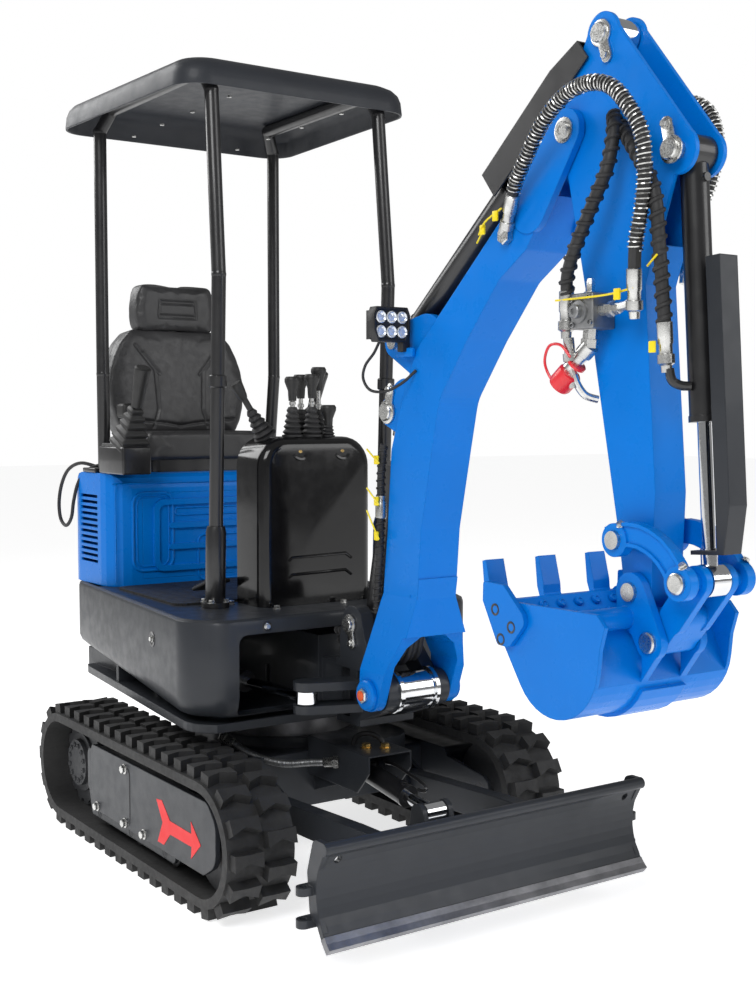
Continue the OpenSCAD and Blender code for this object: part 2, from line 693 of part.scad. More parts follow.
post_r = post_d / 2;
front_post = [[90, 270, deck_z + 12], [124, 270, 1572], [80, 265, rail_z]];
rear_post = [[-600, 290, hood_top + 12], [-580, 300, 1330], [-580, 300, rail_z]];
rail_top = roof_z + roof_crown - roof_t - post_r * 1.04 - seat_gap;
module canopy_frame() color("black") place() both_sides() {
    bent_tube(concat(front_post, [[30, 265, rail_top]], [[-560, 270, rail_top]],
        [rear_post[2], rear_post[1], rear_post[0]]), post_r);
    translate(front_post[0]) translate([0, 0, -12 + seat_gap]) cylinder(r = post_r * 2, h = 14);
    translate(rear_post[0]) translate([0, 0, -12 + seat_gap]) cylinder(r = post_r * 1.6, h = 14);
}

module house_pins() color("silver") place() {
    translate([swing_x, 0, 425]) cylinder(r = king_r, h = 160);
    translate([swing_base[0], swing_base[1], swing_z - 60]) cylinder(r = small_pin_r, h = 120);
}

// Swing gear, laid out along the line between its pins in plan
swing_len = norm(swing_eye - swing_base);
module swing_line() translate([swing_base[0], swing_base[1], swing_z])
    rotate([0, 0, angle_of(swing_eye - swing_base)]) rotate([90, 0, 0]) children();

module swing_cylinder() color("black") place() swing_line()
    barrel(440, barrel_r - 6, 30, 62, small_pin_r + pin_gap, rod_r - 4 + seat_gap, 60);

module swing_rod() color("silver") place() swing_line()
    piston_rod(245, swing_len, rod_r - 4, 28, 30, small_pin_r);

// Swing bracket
bracket_in = 46;
bracket_out = 82;
knuckle_z = [[420, 439], [561, 582]];
foot_half = 92;
module swing_bracket() color("dimgray") place() difference() {
    union() {
        // Plates above and below the house's boss
        for (z = knuckle_z) sheet(z[0], z[1]) {
            hole([swing_x, 0], boss_r + 4);
            polygon(box_outline(swing_x, -bracket_out, swing_x + 110, bracket_out));
        }
        // Side plates up to the boom cylinder's foot and the boom's foot
        both_sides() slab(bracket_in, bracket_out) difference() {
            polygon(rounded([[swing_x + 62, 420], [600, 470], [650, 523], [600, 570], [530, 640],
                [505, 720], [440, 725], [415, 640], [415, 561], [swing_x + 62, 561]],
                [8, 30, 40, 20, 30, 35, 35, 20, 0, 0]));
            polygon(rounded([[485, 475], [560, 505], [555, 545], [485, 600]], 16));
        }
        bar_y(boom_foot, 46, -foot_half, foot_half);
        wall(swing_x + 75, swing_x + 95) polygon(box_outline(-bracket_out, 420, bracket_out, 582));
        // Lever for the swing cylinder
        for (z = [swing_z - 40, swing_z + 18])
            sheet(z, z + 22) tapered_bar([swing_x + 95, -60], 32, swing_eye, 34);
    }
    translate([swing_x, 0, 0]) cylinder(r = king_r + pin_gap, h = deck_z);
    bar_y(boom_foot, pin_r + pin_gap, -house_w, house_w);
    bar_y(boom_base, pin_r + pin_gap, -house_w, house_w);
}

module bracket_pins() color("silver") place() bar_y(boom_base, pin_r, -bracket_out - 8, bracket_out + 8);

// Boom
boom_eye_w = 64;
boom_barrel_len = 415;
module boom_cylinder() color("black") place() along(boom_base, boom_eye)
    barrel(boom_barrel_len, barrel_r, 38, 2 * bracket_in - 4, pin_r + pin_gap, rod_r + seat_gap, 70);

module boom_rod() color("silver") place() along(boom_base, boom_eye)
    piston_rod(120, norm(boom_eye - boom_base), rod_r, 32, boom_eye_w - 6, pin_r);

leg_t = 26;
leg_in = foot_half + 3;
fork_half = leg_in + leg_t;
// Front view of the fork, with its arch, as [y, height above the foot pin]
fork_front = [[-fork_half, -60], [-leg_in, -60], [-leg_in, 76], [-leg_in + 24, 122], [-32, 150], [32, 150],
    [leg_in - 24, 122], [leg_in, 76], [leg_in, -60], [fork_half, -60], [fork_half, 58],
    [boom_w / 2 - 0.5, 244], [boom_w / 2 - 0.5, 290], [0.5 - boom_w / 2, 290], [0.5 - boom_w / 2, 244],
    [-fork_half, 58]];
rear_low = boom_foot + [-30, 224];
front_low_pt = boom_foot + [113, 240];
boom_rear = [rear_low, boom_foot + [-10, 399], boom_foot + [6, 595], boom_foot + [44, 700],
    boom_foot + [107, 833], boom_foot + [234, 941], arm_pivot + [-159, -118], arm_pivot + [-40, 34]];
boom_front = [arm_pivot + [22, -34], arm_pivot + [-119, -227], arm_pivot + [-208, -283],
    boom_foot + [301, 847], boom_foot + [198, 714], boom_foot + [171, 599], boom_foot + [128, 409], front_low_pt];
boom_outline = concat(boom_rear, boom_front);
boom_r = [0, 60, 40, 60, 90, 90, 60, 20, 20, 20, 60, 120, 90, 60, 60, 0];
function inset(pts, d) = let (m = len(pts)) [for (i = [0:m - 1])
    let (a = pts[(i + m - 1) % m], b = pts[i], c = pts[(i + 1) % m],
         t = (c - a) / norm(c - a)) b + d * [t[1], -t[0]]];

module boom() color("dodgerblue") place() difference() {
    union() {
        slab(-boom_w / 2, boom_w / 2) polygon(rounded(boom_outline, boom_r, 3));
        // Forked foot, which widens from the box down to its legs
        intersection() {
            union() {
                slab(-fork_half, fork_half) tapered_bar(boom_foot, 42, boom_foot + [40, 190], 70);
                slab(-fork_half, fork_half) polygon([boom_foot + [-32, 150], boom_foot + [112, 150], front_low_pt,
                    front_low_pt + [8, 50], rear_low + [6, 50], rear_low]);
            }
            wall(boom_foot[0] - 90, boom_foot[0] + 160) translate([0, boom_foot[1]]) polygon(fork_front);
        }
        // Ears for the boom cylinder and the arm cylinder
        both_sides() slab(boom_eye_w / 2, boom_eye_w / 2 + 16) {
            tapered_bar(boom_eye + [70, 10], 70, boom_eye, 34);
            tapered_bar(arm_base + [130, -20], 80, arm_base, 36);
        }
        // Ears for the arm
        both_sides() slab(arm_w / 2 + 3, arm_w / 2 + 3 + 16)
            tapered_bar(arm_pivot + [-110, -140], 55, arm_pivot, 44);
    }
    bar_y(boom_foot, pin_r + pin_gap, -house_w, house_w);
    bar_y(arm_base, pin_r + pin_gap, -house_w, house_w);
    bar_y(arm_pivot, pin_r + pin_gap, -house_w, house_w);
    // Hollow box
    slab(-boom_w / 2 + plate_t, boom_w / 2 - plate_t) polygon(inset(concat(
        [boom_rear[1], boom_rear[2], boom_rear[3], boom_rear[4], boom_rear[5], boom_rear[6]],
        [boom_front[2], boom_front[3], boom_front[4], boom_front[5], boom_front[6]]), plate_t));
    // Room for the head of the arm
    slab(-arm_w / 2 - 3, arm_w / 2 + 3) hole(arm_pivot, 130);
}

module boom_pins() color("silver") place() {
    bar_y(boom_foot, pin_r, -fork_half - 10, fork_half + 10);
    bar_y(arm_base, pin_r, -boom_eye_w / 2 - 24, boom_eye_w / 2 + 24);
    bar_y(arm_pivot, pin_r, -arm_w / 2 - 28, arm_w / 2 + 28);
}

lamp_at = [boom_foot[0] + 55, 1415];
module work_lamp() color("black") place() {
    wall(lamp_at[0], lamp_at[0] + 34)
        polygon(rounded(box_outline(-boom_w / 2 - 92, lamp_at[1] - 32, -boom_w / 2 - 8, lamp_at[1] + 32), 8));
    slab(-boom_w / 2 - 20, -boom_w / 2) polygon(rounded(box_outline(lamp_at[0] + 20, lamp_at[1] - 70,
        lamp_at[0] + 60, lamp_at[1] + 10), 6));
}

// Arm cylinder
arm_eye_w = arm_w - 2 * plate_t - 8;
arm_barrel_len = 505;
module arm_cylinder() color("black") place() along(arm_base, rod_pin)
    barrel(arm_barrel_len, barrel_r - 2, 36, boom_eye_w - 4, pin_r + pin_gap, rod_r + seat_gap, 80);

rod_pin = leaned(arm_eye);
arm_len = norm(rod_pin - arm_base);
module arm_rod() color("silver") place() along(arm_base, rod_pin)
    piston_rod(420, arm_len, rod_r, 34, arm_eye_w, pin_r);

// Channel over a rod, open on the side of the cylinder, with a tongue round the rod's collar
arm_guard_half = 50;
bucket_guard_half = 24;
bucket_guard_low = 40;
guard_t = 4;
guard_bevel = 18;
tongue_half = 24;
module channel(x0, x1, half, top, low, collar_r) {
    bend = x1 - guard_taper;
    slab(-half, half) polygon([[x0, top - guard_t], [x0, top], [bend, top], [x1, top - guard_bevel],
        [x1, top - guard_bevel - guard_t], [bend, top - guard_t]]);
    both_sides() slab(half - guard_t, half)
        polygon([[x0, low], [x1, low], [x1, top - guard_bevel], [bend, top], [x0, top]]);
    difference() {
        wall(x1 - 2 * guard_t, x1)
            polygon(box_outline(-tongue_half, -tongue_half, tongue_half, top - guard_bevel));
        bar_x(x0, x1 + 1, collar_r + seat_gap);
    }
}

module arm_rod_guard() color("black") place() along(arm_base, rod_pin)
    channel(arm_barrel_len - 20, arm_len - 50, arm_guard_half, barrel_r + 24, -10, rod_r * 1.25);

// Arm
head_r = 46;
arm_front = [bucket_base + [-12, -43], bucket_pivot + [52, 590], bucket_pivot + [57, 190], bucket_pivot + [36, 0]];
arm_rear = [bucket_pivot + [-36, 0], rocker_pivot + [-34, 10], bucket_pivot + [-112, 600], arm_pivot + [-14, -90]];
arm_bosses = [[arm_pivot, head_r], [arm_eye, 42], [bucket_base, 44], [bucket_pivot, 36], [rocker_pivot, 34]];
arm_outline = concat([arm_pivot + [-46, 0], arm_eye + [-40, 10], arm_eye + [20, 37], bucket_base + [30, 32]],
    arm_front, arm_rear);

module arm() color("dodgerblue") on_arm() difference() {
    union() {
        slab(-arm_w / 2, arm_w / 2) polygon(arm_outline);
        for (b = arm_bosses) bar_y(b[0], b[1], -arm_w / 2, arm_w / 2);
    }
    for (p = [arm_pivot, bucket_base, rocker_pivot, bucket_pivot])
        bar_y(p, pin_r + pin_gap, -house_w, house_w);
    // Inside of the box, which opens between the head's plates for both cylinders' eyes
    slab(-arm_w / 2 + plate_t, arm_w / 2 - plate_t) difference() {
        polygon([bucket_pivot + [46, 195], bucket_pivot + [-30, 195], bucket_pivot + [-98, 600],
            arm_pivot + [8, -150], arm_pivot + [-4, -60], arm_pivot + [-90, 40], arm_eye + [-160, 90],
            arm_eye + [70, 90], bucket_base + [120, 60], bucket_base + [60, -100],
            bucket_pivot + [60, 650], bucket_pivot + [42, 588]]);
        hole(arm_pivot, head_r + 4);
    }
}

module arm_pins() color("silver") on_arm() {
    bar_y(bucket_base, pin_r, -arm_w / 2 - 14, arm_w / 2 + 14);
    bar_y(rocker_pivot, pin_r, -rocker_out - 8, rocker_out + 8);
    bar_y(bucket_pivot, pin_r, -ear_out - 8, ear_out + 8);
}

module valve_block() color("gray") on_arm() {
    slab(-arm_w / 2 - 62, -arm_w / 2) polygon(rounded(box_outline(arm_pivot[0] + 40, arm_pivot[1] - 470,
        arm_pivot[0] + 105, arm_pivot[1] - 330), 8));
}

// Bucket linkage
ear_in = arm_w / 2 + 3;
ear_out = ear_in + 18;
rocker_in = ear_out + 4;
rocker_out = rocker_in + 22;
bucket_barrel_len = 505;
bucket_len = norm(rocker_eye - bucket_base);
module bucket_cylinder() color("black") on_arm() along(bucket_base, rocker_eye)
    barrel(bucket_barrel_len, arm_eye_w / 2 - 1, 34, arm_eye_w, pin_r + pin_gap, rod_r - 4 + seat_gap, 80);

link_in = 26;
module bucket_rod() color("silver") on_arm() along(bucket_base, rocker_eye)
    piston_rod(420, bucket_len, rod_r - 4, 32, 2 * link_in - 6, pin_r);

module bucket_rod_guard() color("dimgray") on_arm() along(bucket_base, rocker_eye)
    channel(bucket_len - 600, bucket_len - guard_end, bucket_guard_half, guard_rise, bucket_guard_low,
            (rod_r - 4) * 1.25);

rocker_end_r = 33;
rim_w = 8;
rim_h = 4;
rocker_c = rocker_pivot + [30, -125];
module rocker_band(d) polygon(concat(arc(rocker_c, 160 - d, 110, 20, 8), arc(rocker_c, 112 + d, 25, 105, 8)));

module rocker() color("dodgerblue") on_arm() {
    difference() {
        both_sides() {
            bar_y(rocker_pivot, rocker_end_r, rocker_in, rocker_out);
            bar_y(rocker_eye, rocker_end_r, rocker_in, rocker_out);
            slab(rocker_in, rocker_out) rocker_band(0);
        }
        both_sides() slab(rocker_out - rim_h, rocker_out + 1) difference() {
            rocker_band(rim_w);
            hole(rocker_pivot, rocker_end_r);
            hole(rocker_eye, rocker_end_r);
        }
        bar_y(rocker_pivot, pin_r + pin_gap, -house_w, house_w);
    }
    bar_y(rocker_eye, pin_r, link_in + 2, rocker_in + 1);
    mirror([0, 1, 0]) bar_y(rocker_eye, pin_r, link_in + 2, rocker_in + 1);
}

link_out = ear_in - 2;
module bucket_link() color("dodgerblue") on_arm() difference() {
    union() {
        both_sides() slab(link_in, link_out) tapered_bar(rocker_eye, 31, link_eye + [40, 45], 30);
        slab(-link_out, link_out) tapered_bar(link_eye + [46, 50], 26, link_eye, 25);
    }
    bar_y(rocker_eye, pin_r + pin_gap, -house_w, house_w);
}

// Bucket, a cup whose mouth looks up at rest
bucket_c = bucket_pivot + [-90, -122];
wrap_r = 122;
floor_a = 211;
floor_len = 192;
heel_a = 350;
back_a = 335;
tube_at = bucket_pivot + [-14, -50];
tube_r = 22;
side_ear = bucket_c + [144, 65];
floor_dir = dir(floor_a - 90);
lip = bucket_c + wrap_r * dir(floor_a) + floor_len * floor_dir;
function bucket_curve(r, from_a) = arc(bucket_c, r, from_a, floor_a, 14);
// Point of the floor's outer face, as distance past the lip and height off the face
function on_floor(u, n) = lip + u * floor_dir + n * dir(floor_a);

module bucket() color("dodgerblue") on_arm() difference() {
    union() {
        both_sides() slab(bucket_w / 2 - plate_t, bucket_w / 2) polygon(concat(
            [lip + [8, 6], side_ear + [-20, 24], side_ear, side_ear + [-16, -42]], bucket_curve(wrap_r, heel_a), [lip]));
        slab(-bucket_w / 2 + 1, bucket_w / 2 - 1) difference() {
            polygon(concat([tube_at + [-6, -14]], bucket_curve(wrap_r, back_a), [lip]));
            polygon(concat([tube_at + [-20, 60], tube_at + [-16, -18]], bucket_curve(wrap_r - plate_t, back_a),
                [on_floor(80, -plate_t)]));
        }
        // Wear band round the middle of the heel
        slab(-band_half, band_half) polygon(concat(arc(bucket_c, wrap_r + band_t, band_a, floor_a + 10, 10),
            arc(bucket_c, wrap_r - 2, floor_a + 10, band_a, 10)));
        // Ears welded to the back, and the tube that ties them to the sides
        both_sides() {
            slab(ear_in, ear_out) tapered_bar(bucket_pivot, 38, link_eye, 34);
            slab(ear_in, ear_out) polygon([bucket_pivot + [-36, -4], tube_at + [-26, -6],
                bucket_c + (wrap_r - 4) * dir(10), bucket_c + (wrap_r - 4) * dir(-18),
                bucket_c + (wrap_r - 4) * dir(-36), link_eye + [20, -26], link_eye]);
            bar_y(tube_at, tube_r, ear_in + 2, bucket_w / 2 - 2);
        }
    }
    bar_y(bucket_pivot, pin_r + pin_gap, -ear_out - 1, ear_out + 1);
}
band_half = 60;
band_a = 328;
band_t = 9;

tooth_half = 24;
tooth_y = 145;
module bucket_teeth() color("dodgerblue") on_arm() {
    for (y = [-tooth_y, 0, tooth_y]) slab(y - tooth_half, y + tooth_half)
        polygon([on_floor(-80, seat_gap), on_floor(-80, 13), on_floor(-10, 20), on_floor(28, 11),
            on_floor(84, -19), on_floor(80, -30), on_floor(20, -9), on_floor(4, seat_gap)]);
    // Side cutters
    both_sides() slab(bucket_w / 2 + seat_gap, bucket_w / 2 + 12) polygon(rounded([lip + [4, 2], lip + [8, 42],
        lip + [72, 36], lip + [127, -20], lip + [134, -40], lip + [82, -90], lip + [46, -86]],
        [4, 6, 16, 12, 16, 16, 10]));
}

car_body();
slew_ring();
track_frame_right();
track_frame_left();
track_right();
track_left();
wheels_right();
wheels_left();
frame_pins();
blade_cylinder_cover();
blade();
cutting_edge();
blade_cylinder();
blade_rod();
turntable();
skirt();
counterweight();
deck();
floor_mat();
hood();
hood_front();
engine();
seat_base();
seat_cushion();
seat_back();
headrest();
joystick_pods();
joysticks();
console();
console_levers();
canopy_roof();
canopy_frame();
house_pins();
swing_cylinder();
swing_rod();
swing_bracket();
bracket_pins();
boom_cylinder();
boom_rod();
boom();
boom_pins();
work_lamp();
arm_cylinder();
arm_rod();
arm_rod_guard();
arm();
arm_pins();
valve_block();
bucket_cylinder();
bucket_rod();
bucket_rod_guard();
rocker();
bucket_link();
bucket();
bucket_teeth();
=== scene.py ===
"""Looks of a canopy mini excavator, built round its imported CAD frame. Metres, +X front, +Y left, +Z up."""
import json
import math

import bpy
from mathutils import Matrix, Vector


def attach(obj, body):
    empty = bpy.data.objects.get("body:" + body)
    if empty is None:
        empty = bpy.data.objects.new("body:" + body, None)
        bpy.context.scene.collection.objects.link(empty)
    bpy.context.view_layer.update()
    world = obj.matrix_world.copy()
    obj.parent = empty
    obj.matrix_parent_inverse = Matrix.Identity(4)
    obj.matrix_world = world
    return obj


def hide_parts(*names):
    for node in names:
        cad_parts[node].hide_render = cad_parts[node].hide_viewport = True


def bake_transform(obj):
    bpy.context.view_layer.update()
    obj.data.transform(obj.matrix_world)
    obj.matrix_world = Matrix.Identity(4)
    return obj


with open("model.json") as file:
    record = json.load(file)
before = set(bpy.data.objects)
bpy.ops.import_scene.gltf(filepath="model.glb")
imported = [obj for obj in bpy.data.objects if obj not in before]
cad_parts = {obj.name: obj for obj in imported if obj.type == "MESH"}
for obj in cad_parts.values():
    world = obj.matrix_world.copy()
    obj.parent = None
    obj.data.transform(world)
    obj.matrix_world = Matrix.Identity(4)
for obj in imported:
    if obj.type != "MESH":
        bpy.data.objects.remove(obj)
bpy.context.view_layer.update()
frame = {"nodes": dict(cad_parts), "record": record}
nodes = frame["nodes"]


# Finishes

def new_finish(name):
    """A material with its Principled shader and Object coordinates."""
    material = bpy.data.materials.new(name)
    material.use_nodes = True
    shader = material.node_tree.nodes["Principled BSDF"]
    place = material.node_tree.nodes.new("ShaderNodeTexCoord").outputs["Object"]
    return material, shader, place


def noise(material, place, scale, detail=4.0, rough=0.55):
    """Noise of the given scale, read from the piece's own coordinates."""
    node = material.node_tree.nodes.new("ShaderNodeTexNoise")
    node.inputs["Scale"].default_value = scale
    node.inputs["Detail"].default_value = detail
    node.inputs["Roughness"].default_value = rough
    material.node_tree.links.new(place, node.inputs["Vector"])
    return node.outputs["Fac"]


def ramp(material, value, stops):
    """Colours along a value, as (position, colour) stops."""
    node = material.node_tree.nodes.new("ShaderNodeValToRGB")
    band = node.color_ramp
    while len(band.elements) < len(stops):
        band.elements.new(0.5)
    for element, (position, colour) in zip(band.elements, stops):
        element.position = position
        element.color = (*colour, 1.0)
    material.node_tree.links.new(value, node.inputs["Fac"])
    return node.outputs["Color"]


def spread(material, value, low, high):
    """A value from 0.35 to 0.65 stretched between two numbers."""
    node = material.node_tree.nodes.new("ShaderNodeMapRange")
    node.inputs["From Min"].default_value = 0.35
    node.inputs["From Max"].default_value = 0.65
    node.inputs["To Min"].default_value = low
    node.inputs["To Max"].default_value = high
    material.node_tree.links.new(value, node.inputs["Value"])
    return node.outputs["Result"]


def bump(material, shader, height, strength, distance=0.001, edge=0.0):
    """Relief on the shader from a height, over edges softened by a radius."""
    node = material.node_tree.nodes.new("ShaderNodeBump")
    if edge:
        soft = material.node_tree.nodes.new("ShaderNodeBevel")
        soft.samples = 4
        soft.inputs["Radius"].default_value = edge
        material.node_tree.links.new(soft.outputs["Normal"], node.inputs["Normal"])
    node.inputs["Strength"].default_value = strength
    node.inputs["Distance"].default_value = distance
    material.node_tree.links.new(height, node.inputs["Height"])
    material.node_tree.links.new(node.outputs["Normal"], shader.inputs["Normal"])


def coated(name, dark, light, rough, grain, relief, metal=0.0, coat=0.0, patch=3.0, edge=0.0, gleam=0.5):
    """A finish with soft patches of colour, uneven gloss and a fine surface grain."""
    material, shader, place = new_finish(name)
    links = material.node_tree.links
    patches = noise(material, place, patch)
    links.new(ramp(material, patches, [(0.35, dark), (0.65, light)]), shader.inputs["Base Color"])
    links.new(spread(material, noise(material, place, patch * 9), *rough), shader.inputs["Roughness"])
    bump(material, shader, noise(material, place, grain, 2.0), relief, edge=edge)
    shader.inputs["Metallic"].default_value = metal
    shader.inputs["Specular IOR Level"].default_value = gleam
    shader.inputs["Coat Weight"].default_value = coat
    shader.inputs["Coat Roughness"].default_value = 0.08
    return material


blue_paint = coated("blue_paint", (0.0, 0.162, 0.60), (0.0, 0.178, 0.65), (0.26, 0.34), 420, 0.04, coat=0.03,
                    edge=0.003, gleam=0.14)
grey_paint = coated("grey_paint", (0.023, 0.026, 0.031), (0.029, 0.032, 0.038), (0.34, 0.44), 520, 0.08, coat=0.07,
                    edge=0.004, gleam=0.3)
roof_paint = coated("roof_paint", (0.022, 0.024, 0.029), (0.028, 0.031, 0.037), (0.40, 0.50), 900, 0.22, coat=0.05,
                    gleam=0.25)
black_paint = coated("black_paint", (0.008, 0.008, 0.009), (0.013, 0.013, 0.014), (0.28, 0.38), 500, 0.06, coat=0.3,
                     edge=0.002)
worn_steel = coated("worn_steel", (0.16, 0.16, 0.17), (0.27, 0.27, 0.28), (0.32, 0.48), 300, 0.12, metal=0.9, patch=14)
cast_iron = coated("cast_iron", (0.030, 0.031, 0.034), (0.045, 0.047, 0.051), (0.50, 0.65), 260, 0.35, patch=8)
track_rubber = coated("track_rubber", (0.016, 0.016, 0.0165), (0.028, 0.028, 0.028), (0.60, 0.76), 380, 0.25, patch=7)
mat_rubber, mat_shader, mat_place = new_finish("mat_rubber")
tiles = mat_rubber.node_tree.nodes.new("ShaderNodeTexBrick")
for socket, value in (("Scale", 1.0), ("Mortar Size", 0.004), ("Mortar Smooth", 0.3), ("Brick Width", 0.075),
                      ("Row Height", 0.045)):
    tiles.inputs[socket].default_value = value
tiles.inputs["Color1"].default_value = (1.0, 1.0, 1.0, 1.0)
tiles.inputs["Color2"].default_value = (0.9, 0.9, 0.9, 1.0)
tiles.inputs["Mortar"].default_value = (0.0, 0.0, 0.0, 1.0)
mat_rubber.node_tree.links.new(mat_place, tiles.inputs["Vector"])
mat_rubber.node_tree.links.new(ramp(mat_rubber, tiles.outputs["Color"],
                                    [(0.0, (0.008, 0.008, 0.008)), (1.0, (0.020, 0.020, 0.020))]),
                               mat_shader.inputs["Base Color"])
mat_rubber.node_tree.links.new(spread(mat_rubber, noise(mat_rubber, mat_place, 30), 0.5, 0.65),
                               mat_shader.inputs["Roughness"])
bump(mat_rubber, mat_shader, tiles.outputs["Color"], 0.9, 0.004)
zinc = coated("zinc", (0.50, 0.50, 0.49), (0.68, 0.68, 0.66), (0.22, 0.36), 400, 0.08, metal=1.0, patch=30)
chrome = coated("chrome", (0.70, 0.71, 0.73), (0.78, 0.79, 0.80), (0.05, 0.10), 900, 0.01, metal=1.0, patch=20)
vinyl = coated("vinyl", (0.027, 0.027, 0.028), (0.040, 0.040, 0.042), (0.36, 0.48), 330, 0.3, patch=6)
black_plastic = coated("black_plastic", (0.009, 0.009, 0.009), (0.014, 0.014, 0.014), (0.42, 0.55), 700, 0.2)
gloss_plastic = coated("gloss_plastic", (0.003, 0.003, 0.0035), (0.005, 0.005, 0.0055), (0.10, 0.18), 300, 0.03,
                       coat=0.25, gleam=0.35)
valve_grey = coated("valve_grey", (0.20, 0.205, 0.21), (0.29, 0.295, 0.30), (0.36, 0.5), 450, 0.2, metal=0.85, patch=22)

yellow_tie = coated("yellow_tie", (0.80, 0.62, 0.0), (0.88, 0.70, 0.01), (0.35, 0.45), 300, 0.1)
red_plastic = coated("red_plastic", (0.62, 0.012, 0.02), (0.72, 0.018, 0.028), (0.32, 0.42), 350, 0.1, coat=0.2)
red_print = coated("red_print", (0.80, 0.012, 0.016), (0.86, 0.016, 0.02), (0.45, 0.55), 500, 0.05)
orange_end = coated("orange_end", (0.68, 0.09, 0.015), (0.78, 0.12, 0.02), (0.35, 0.5), 400, 0.1)
brass = coated("brass", (0.55, 0.36, 0.12), (0.68, 0.47, 0.18), (0.24, 0.36), 400, 0.05, metal=1.0, patch=30)
hose_rubber = coated("hose_rubber", (0.012, 0.012, 0.013), (0.020, 0.020, 0.021), (0.5, 0.65), 420, 0.3, patch=9)
lens_glass = coated("lens_glass", (0.62, 0.66, 0.70), (0.78, 0.81, 0.84), (0.06, 0.12), 300, 0.02, metal=0.4,
                    coat=0.6, patch=60)

slot_finish = {"blue_paint": blue_paint, "grey_paint": grey_paint, "worn_steel": worn_steel, "cast_iron": cast_iron,
               "track_rubber": track_rubber, "mat_rubber": mat_rubber, "zinc_pins": zinc, "black_paint": black_paint,
               "chrome_rod": chrome, "black_vinyl": vinyl, "black_plastic": black_plastic,
               "gloss_console": gloss_plastic, "valve_steel": valve_grey}
own_finish = {"canopy_roof": roof_paint}
slot_of = {paint: slot for slot, paint in slot_finish.items()}
slot_of.update({roof_paint: "grey_paint", yellow_tie: "black_plastic", red_plastic: "black_plastic",
                red_print: "black_plastic", hose_rubber: "black_plastic", orange_end: "zinc_pins",
                brass: "zinc_pins", lens_glass: "valve_steel"})

for part in frame["record"]["subparts"]:
    cad = nodes[part["node"]]
    paint = own_finish.get(part["node"], slot_finish[part["material_slot"]])
    cad.data.materials.clear()
    cad.data.materials.append(paint)


# Camera, floor and light

bpy.ops.object.camera_add(location=(2.86555, -1.9290, 1.1957),
                          rotation=(math.radians(90 - 3.487), 0, math.radians(55.657)))
camera = bpy.context.object
camera.data.lens = 48.394
bpy.context.scene.camera = camera

bpy.ops.mesh.primitive_plane_add(size=60, location=(0, 0, 0))
floor = bpy.context.object
floor.name = "floor"
floor_finish = coated("pale_floor", (0.86, 0.86, 0.86), (0.88, 0.88, 0.88), (0.75, 0.85), 40, 0.02)
floor.data.materials.append(floor_finish)
glow = floor_finish.node_tree.nodes["Principled BSDF"]
glow.inputs["Emission Color"].default_value = (1.0, 1.0, 1.0, 1.0)
glow.inputs["Emission Strength"].default_value = 0.72

world = bpy.data.worlds.new("studio")
bpy.context.scene.world = world
world.use_nodes = True
sky = world.node_tree.nodes["Background"]
sky.inputs["Color"].default_value = (1.0, 1.0, 1.0, 1.0)
sky.inputs["Strength"].default_value = 0.26
backdrop = world.node_tree.nodes.new("ShaderNodeBackground")
backdrop.inputs["Color"].default_value = (1.0, 1.0, 1.0, 1.0)
backdrop.inputs["Strength"].default_value = 1.0
choose = world.node_tree.nodes.new("ShaderNodeMixShader")
rays = world.node_tree.nodes.new("ShaderNodeLightPath")
world.node_tree.links.new(rays.outputs["Is Camera Ray"], choose.inputs["Fac"])
world.node_tree.links.new(sky.outputs["Background"], choose.inputs[1])
world.node_tree.links.new(backdrop.outputs["Background"], choose.inputs[2])
world.node_tree.links.new(choose.outputs["Shader"], world.node_tree.nodes["World Output"].inputs["Surface"])


def soft_box(name, place, aim, size, power):
    """A square soft light that looks at a point."""
    bpy.ops.object.light_add(type="AREA", location=place)
    lamp = bpy.context.object
    lamp.name = name
    lamp.data.size = size
    lamp.data.energy = power
    lamp.rotation_euler = (Vector(aim) - Vector(place)).to_track_quat("-Z", "Y").to_euler()


soft_box("key", (3.2, -4.2, 5.0), (0.2, 0, 0.9), 3.0, 215)
soft_box("fill", (5.0, 3.0, 3.2), (0.3, 0, 1.0), 3.0, 85)
soft_box("rear", (-4.5, -2.0, 4.0), (0, 0, 1.0), 3.0, 130)
bpy.context.scene.view_settings.view_transform = "Standard"


# Modelling helpers. Points of the machine are written in millimetres from the slew axis.
# Profiles, radii and edges of small turned pieces are in metres.

SLEW_X = -0.42585
ARM_PIVOT = (1225, 1777)
LEAN = math.radians(4)
ARM_HOSE = 0.0125
FOOT_HOSE = 0.0085
BACK_HOSE = 0.0095
LAMP_LEAD = 0.007
REAR_CABLE = 0.011
COVER_Y = 493


def at(x, y, z):
    """A point of the machine as metres in the frame."""
    return Vector((x / 1000 + SLEW_X, y / 1000, z / 1000))


def on_arm(x, y, z):
    """A point drawn on the upright arm, leaned out with it."""
    dx, dz = x - ARM_PIVOT[0], z - ARM_PIVOT[1]
    return at(ARM_PIVOT[0] + math.cos(LEAN) * dx - math.sin(LEAN) * dz, y,
              ARM_PIVOT[1] + math.sin(LEAN) * dx + math.cos(LEAN) * dz)


def take(*pieces):
    """Selects these pieces alone and makes the first one active."""
    bpy.ops.object.select_all(action="DESELECT")
    for piece in pieces:
        piece.select_set(True)
    bpy.context.view_layer.objects.active = pieces[0]


def mode(kind):
    """Goes to edit or object mode."""
    bpy.ops.object.mode_set(mode=kind)


def settle():
    """Moves the active piece's place and turn into its mesh."""
    bpy.ops.object.transform_apply(location=True, rotation=True, scale=True)


def finished(piece, name, paint, body, smooth=35):
    """Names a piece, gives it its finish, and lets it ride on a body, if one is given."""
    take(piece)
    settle()
    bpy.ops.object.shade_smooth_by_angle(angle=math.radians(smooth))
    piece.name = name
    piece.data.name = name
    piece.data.materials.clear()
    piece.data.materials.append(paint)
    if body:
        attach(piece, body)
    return piece


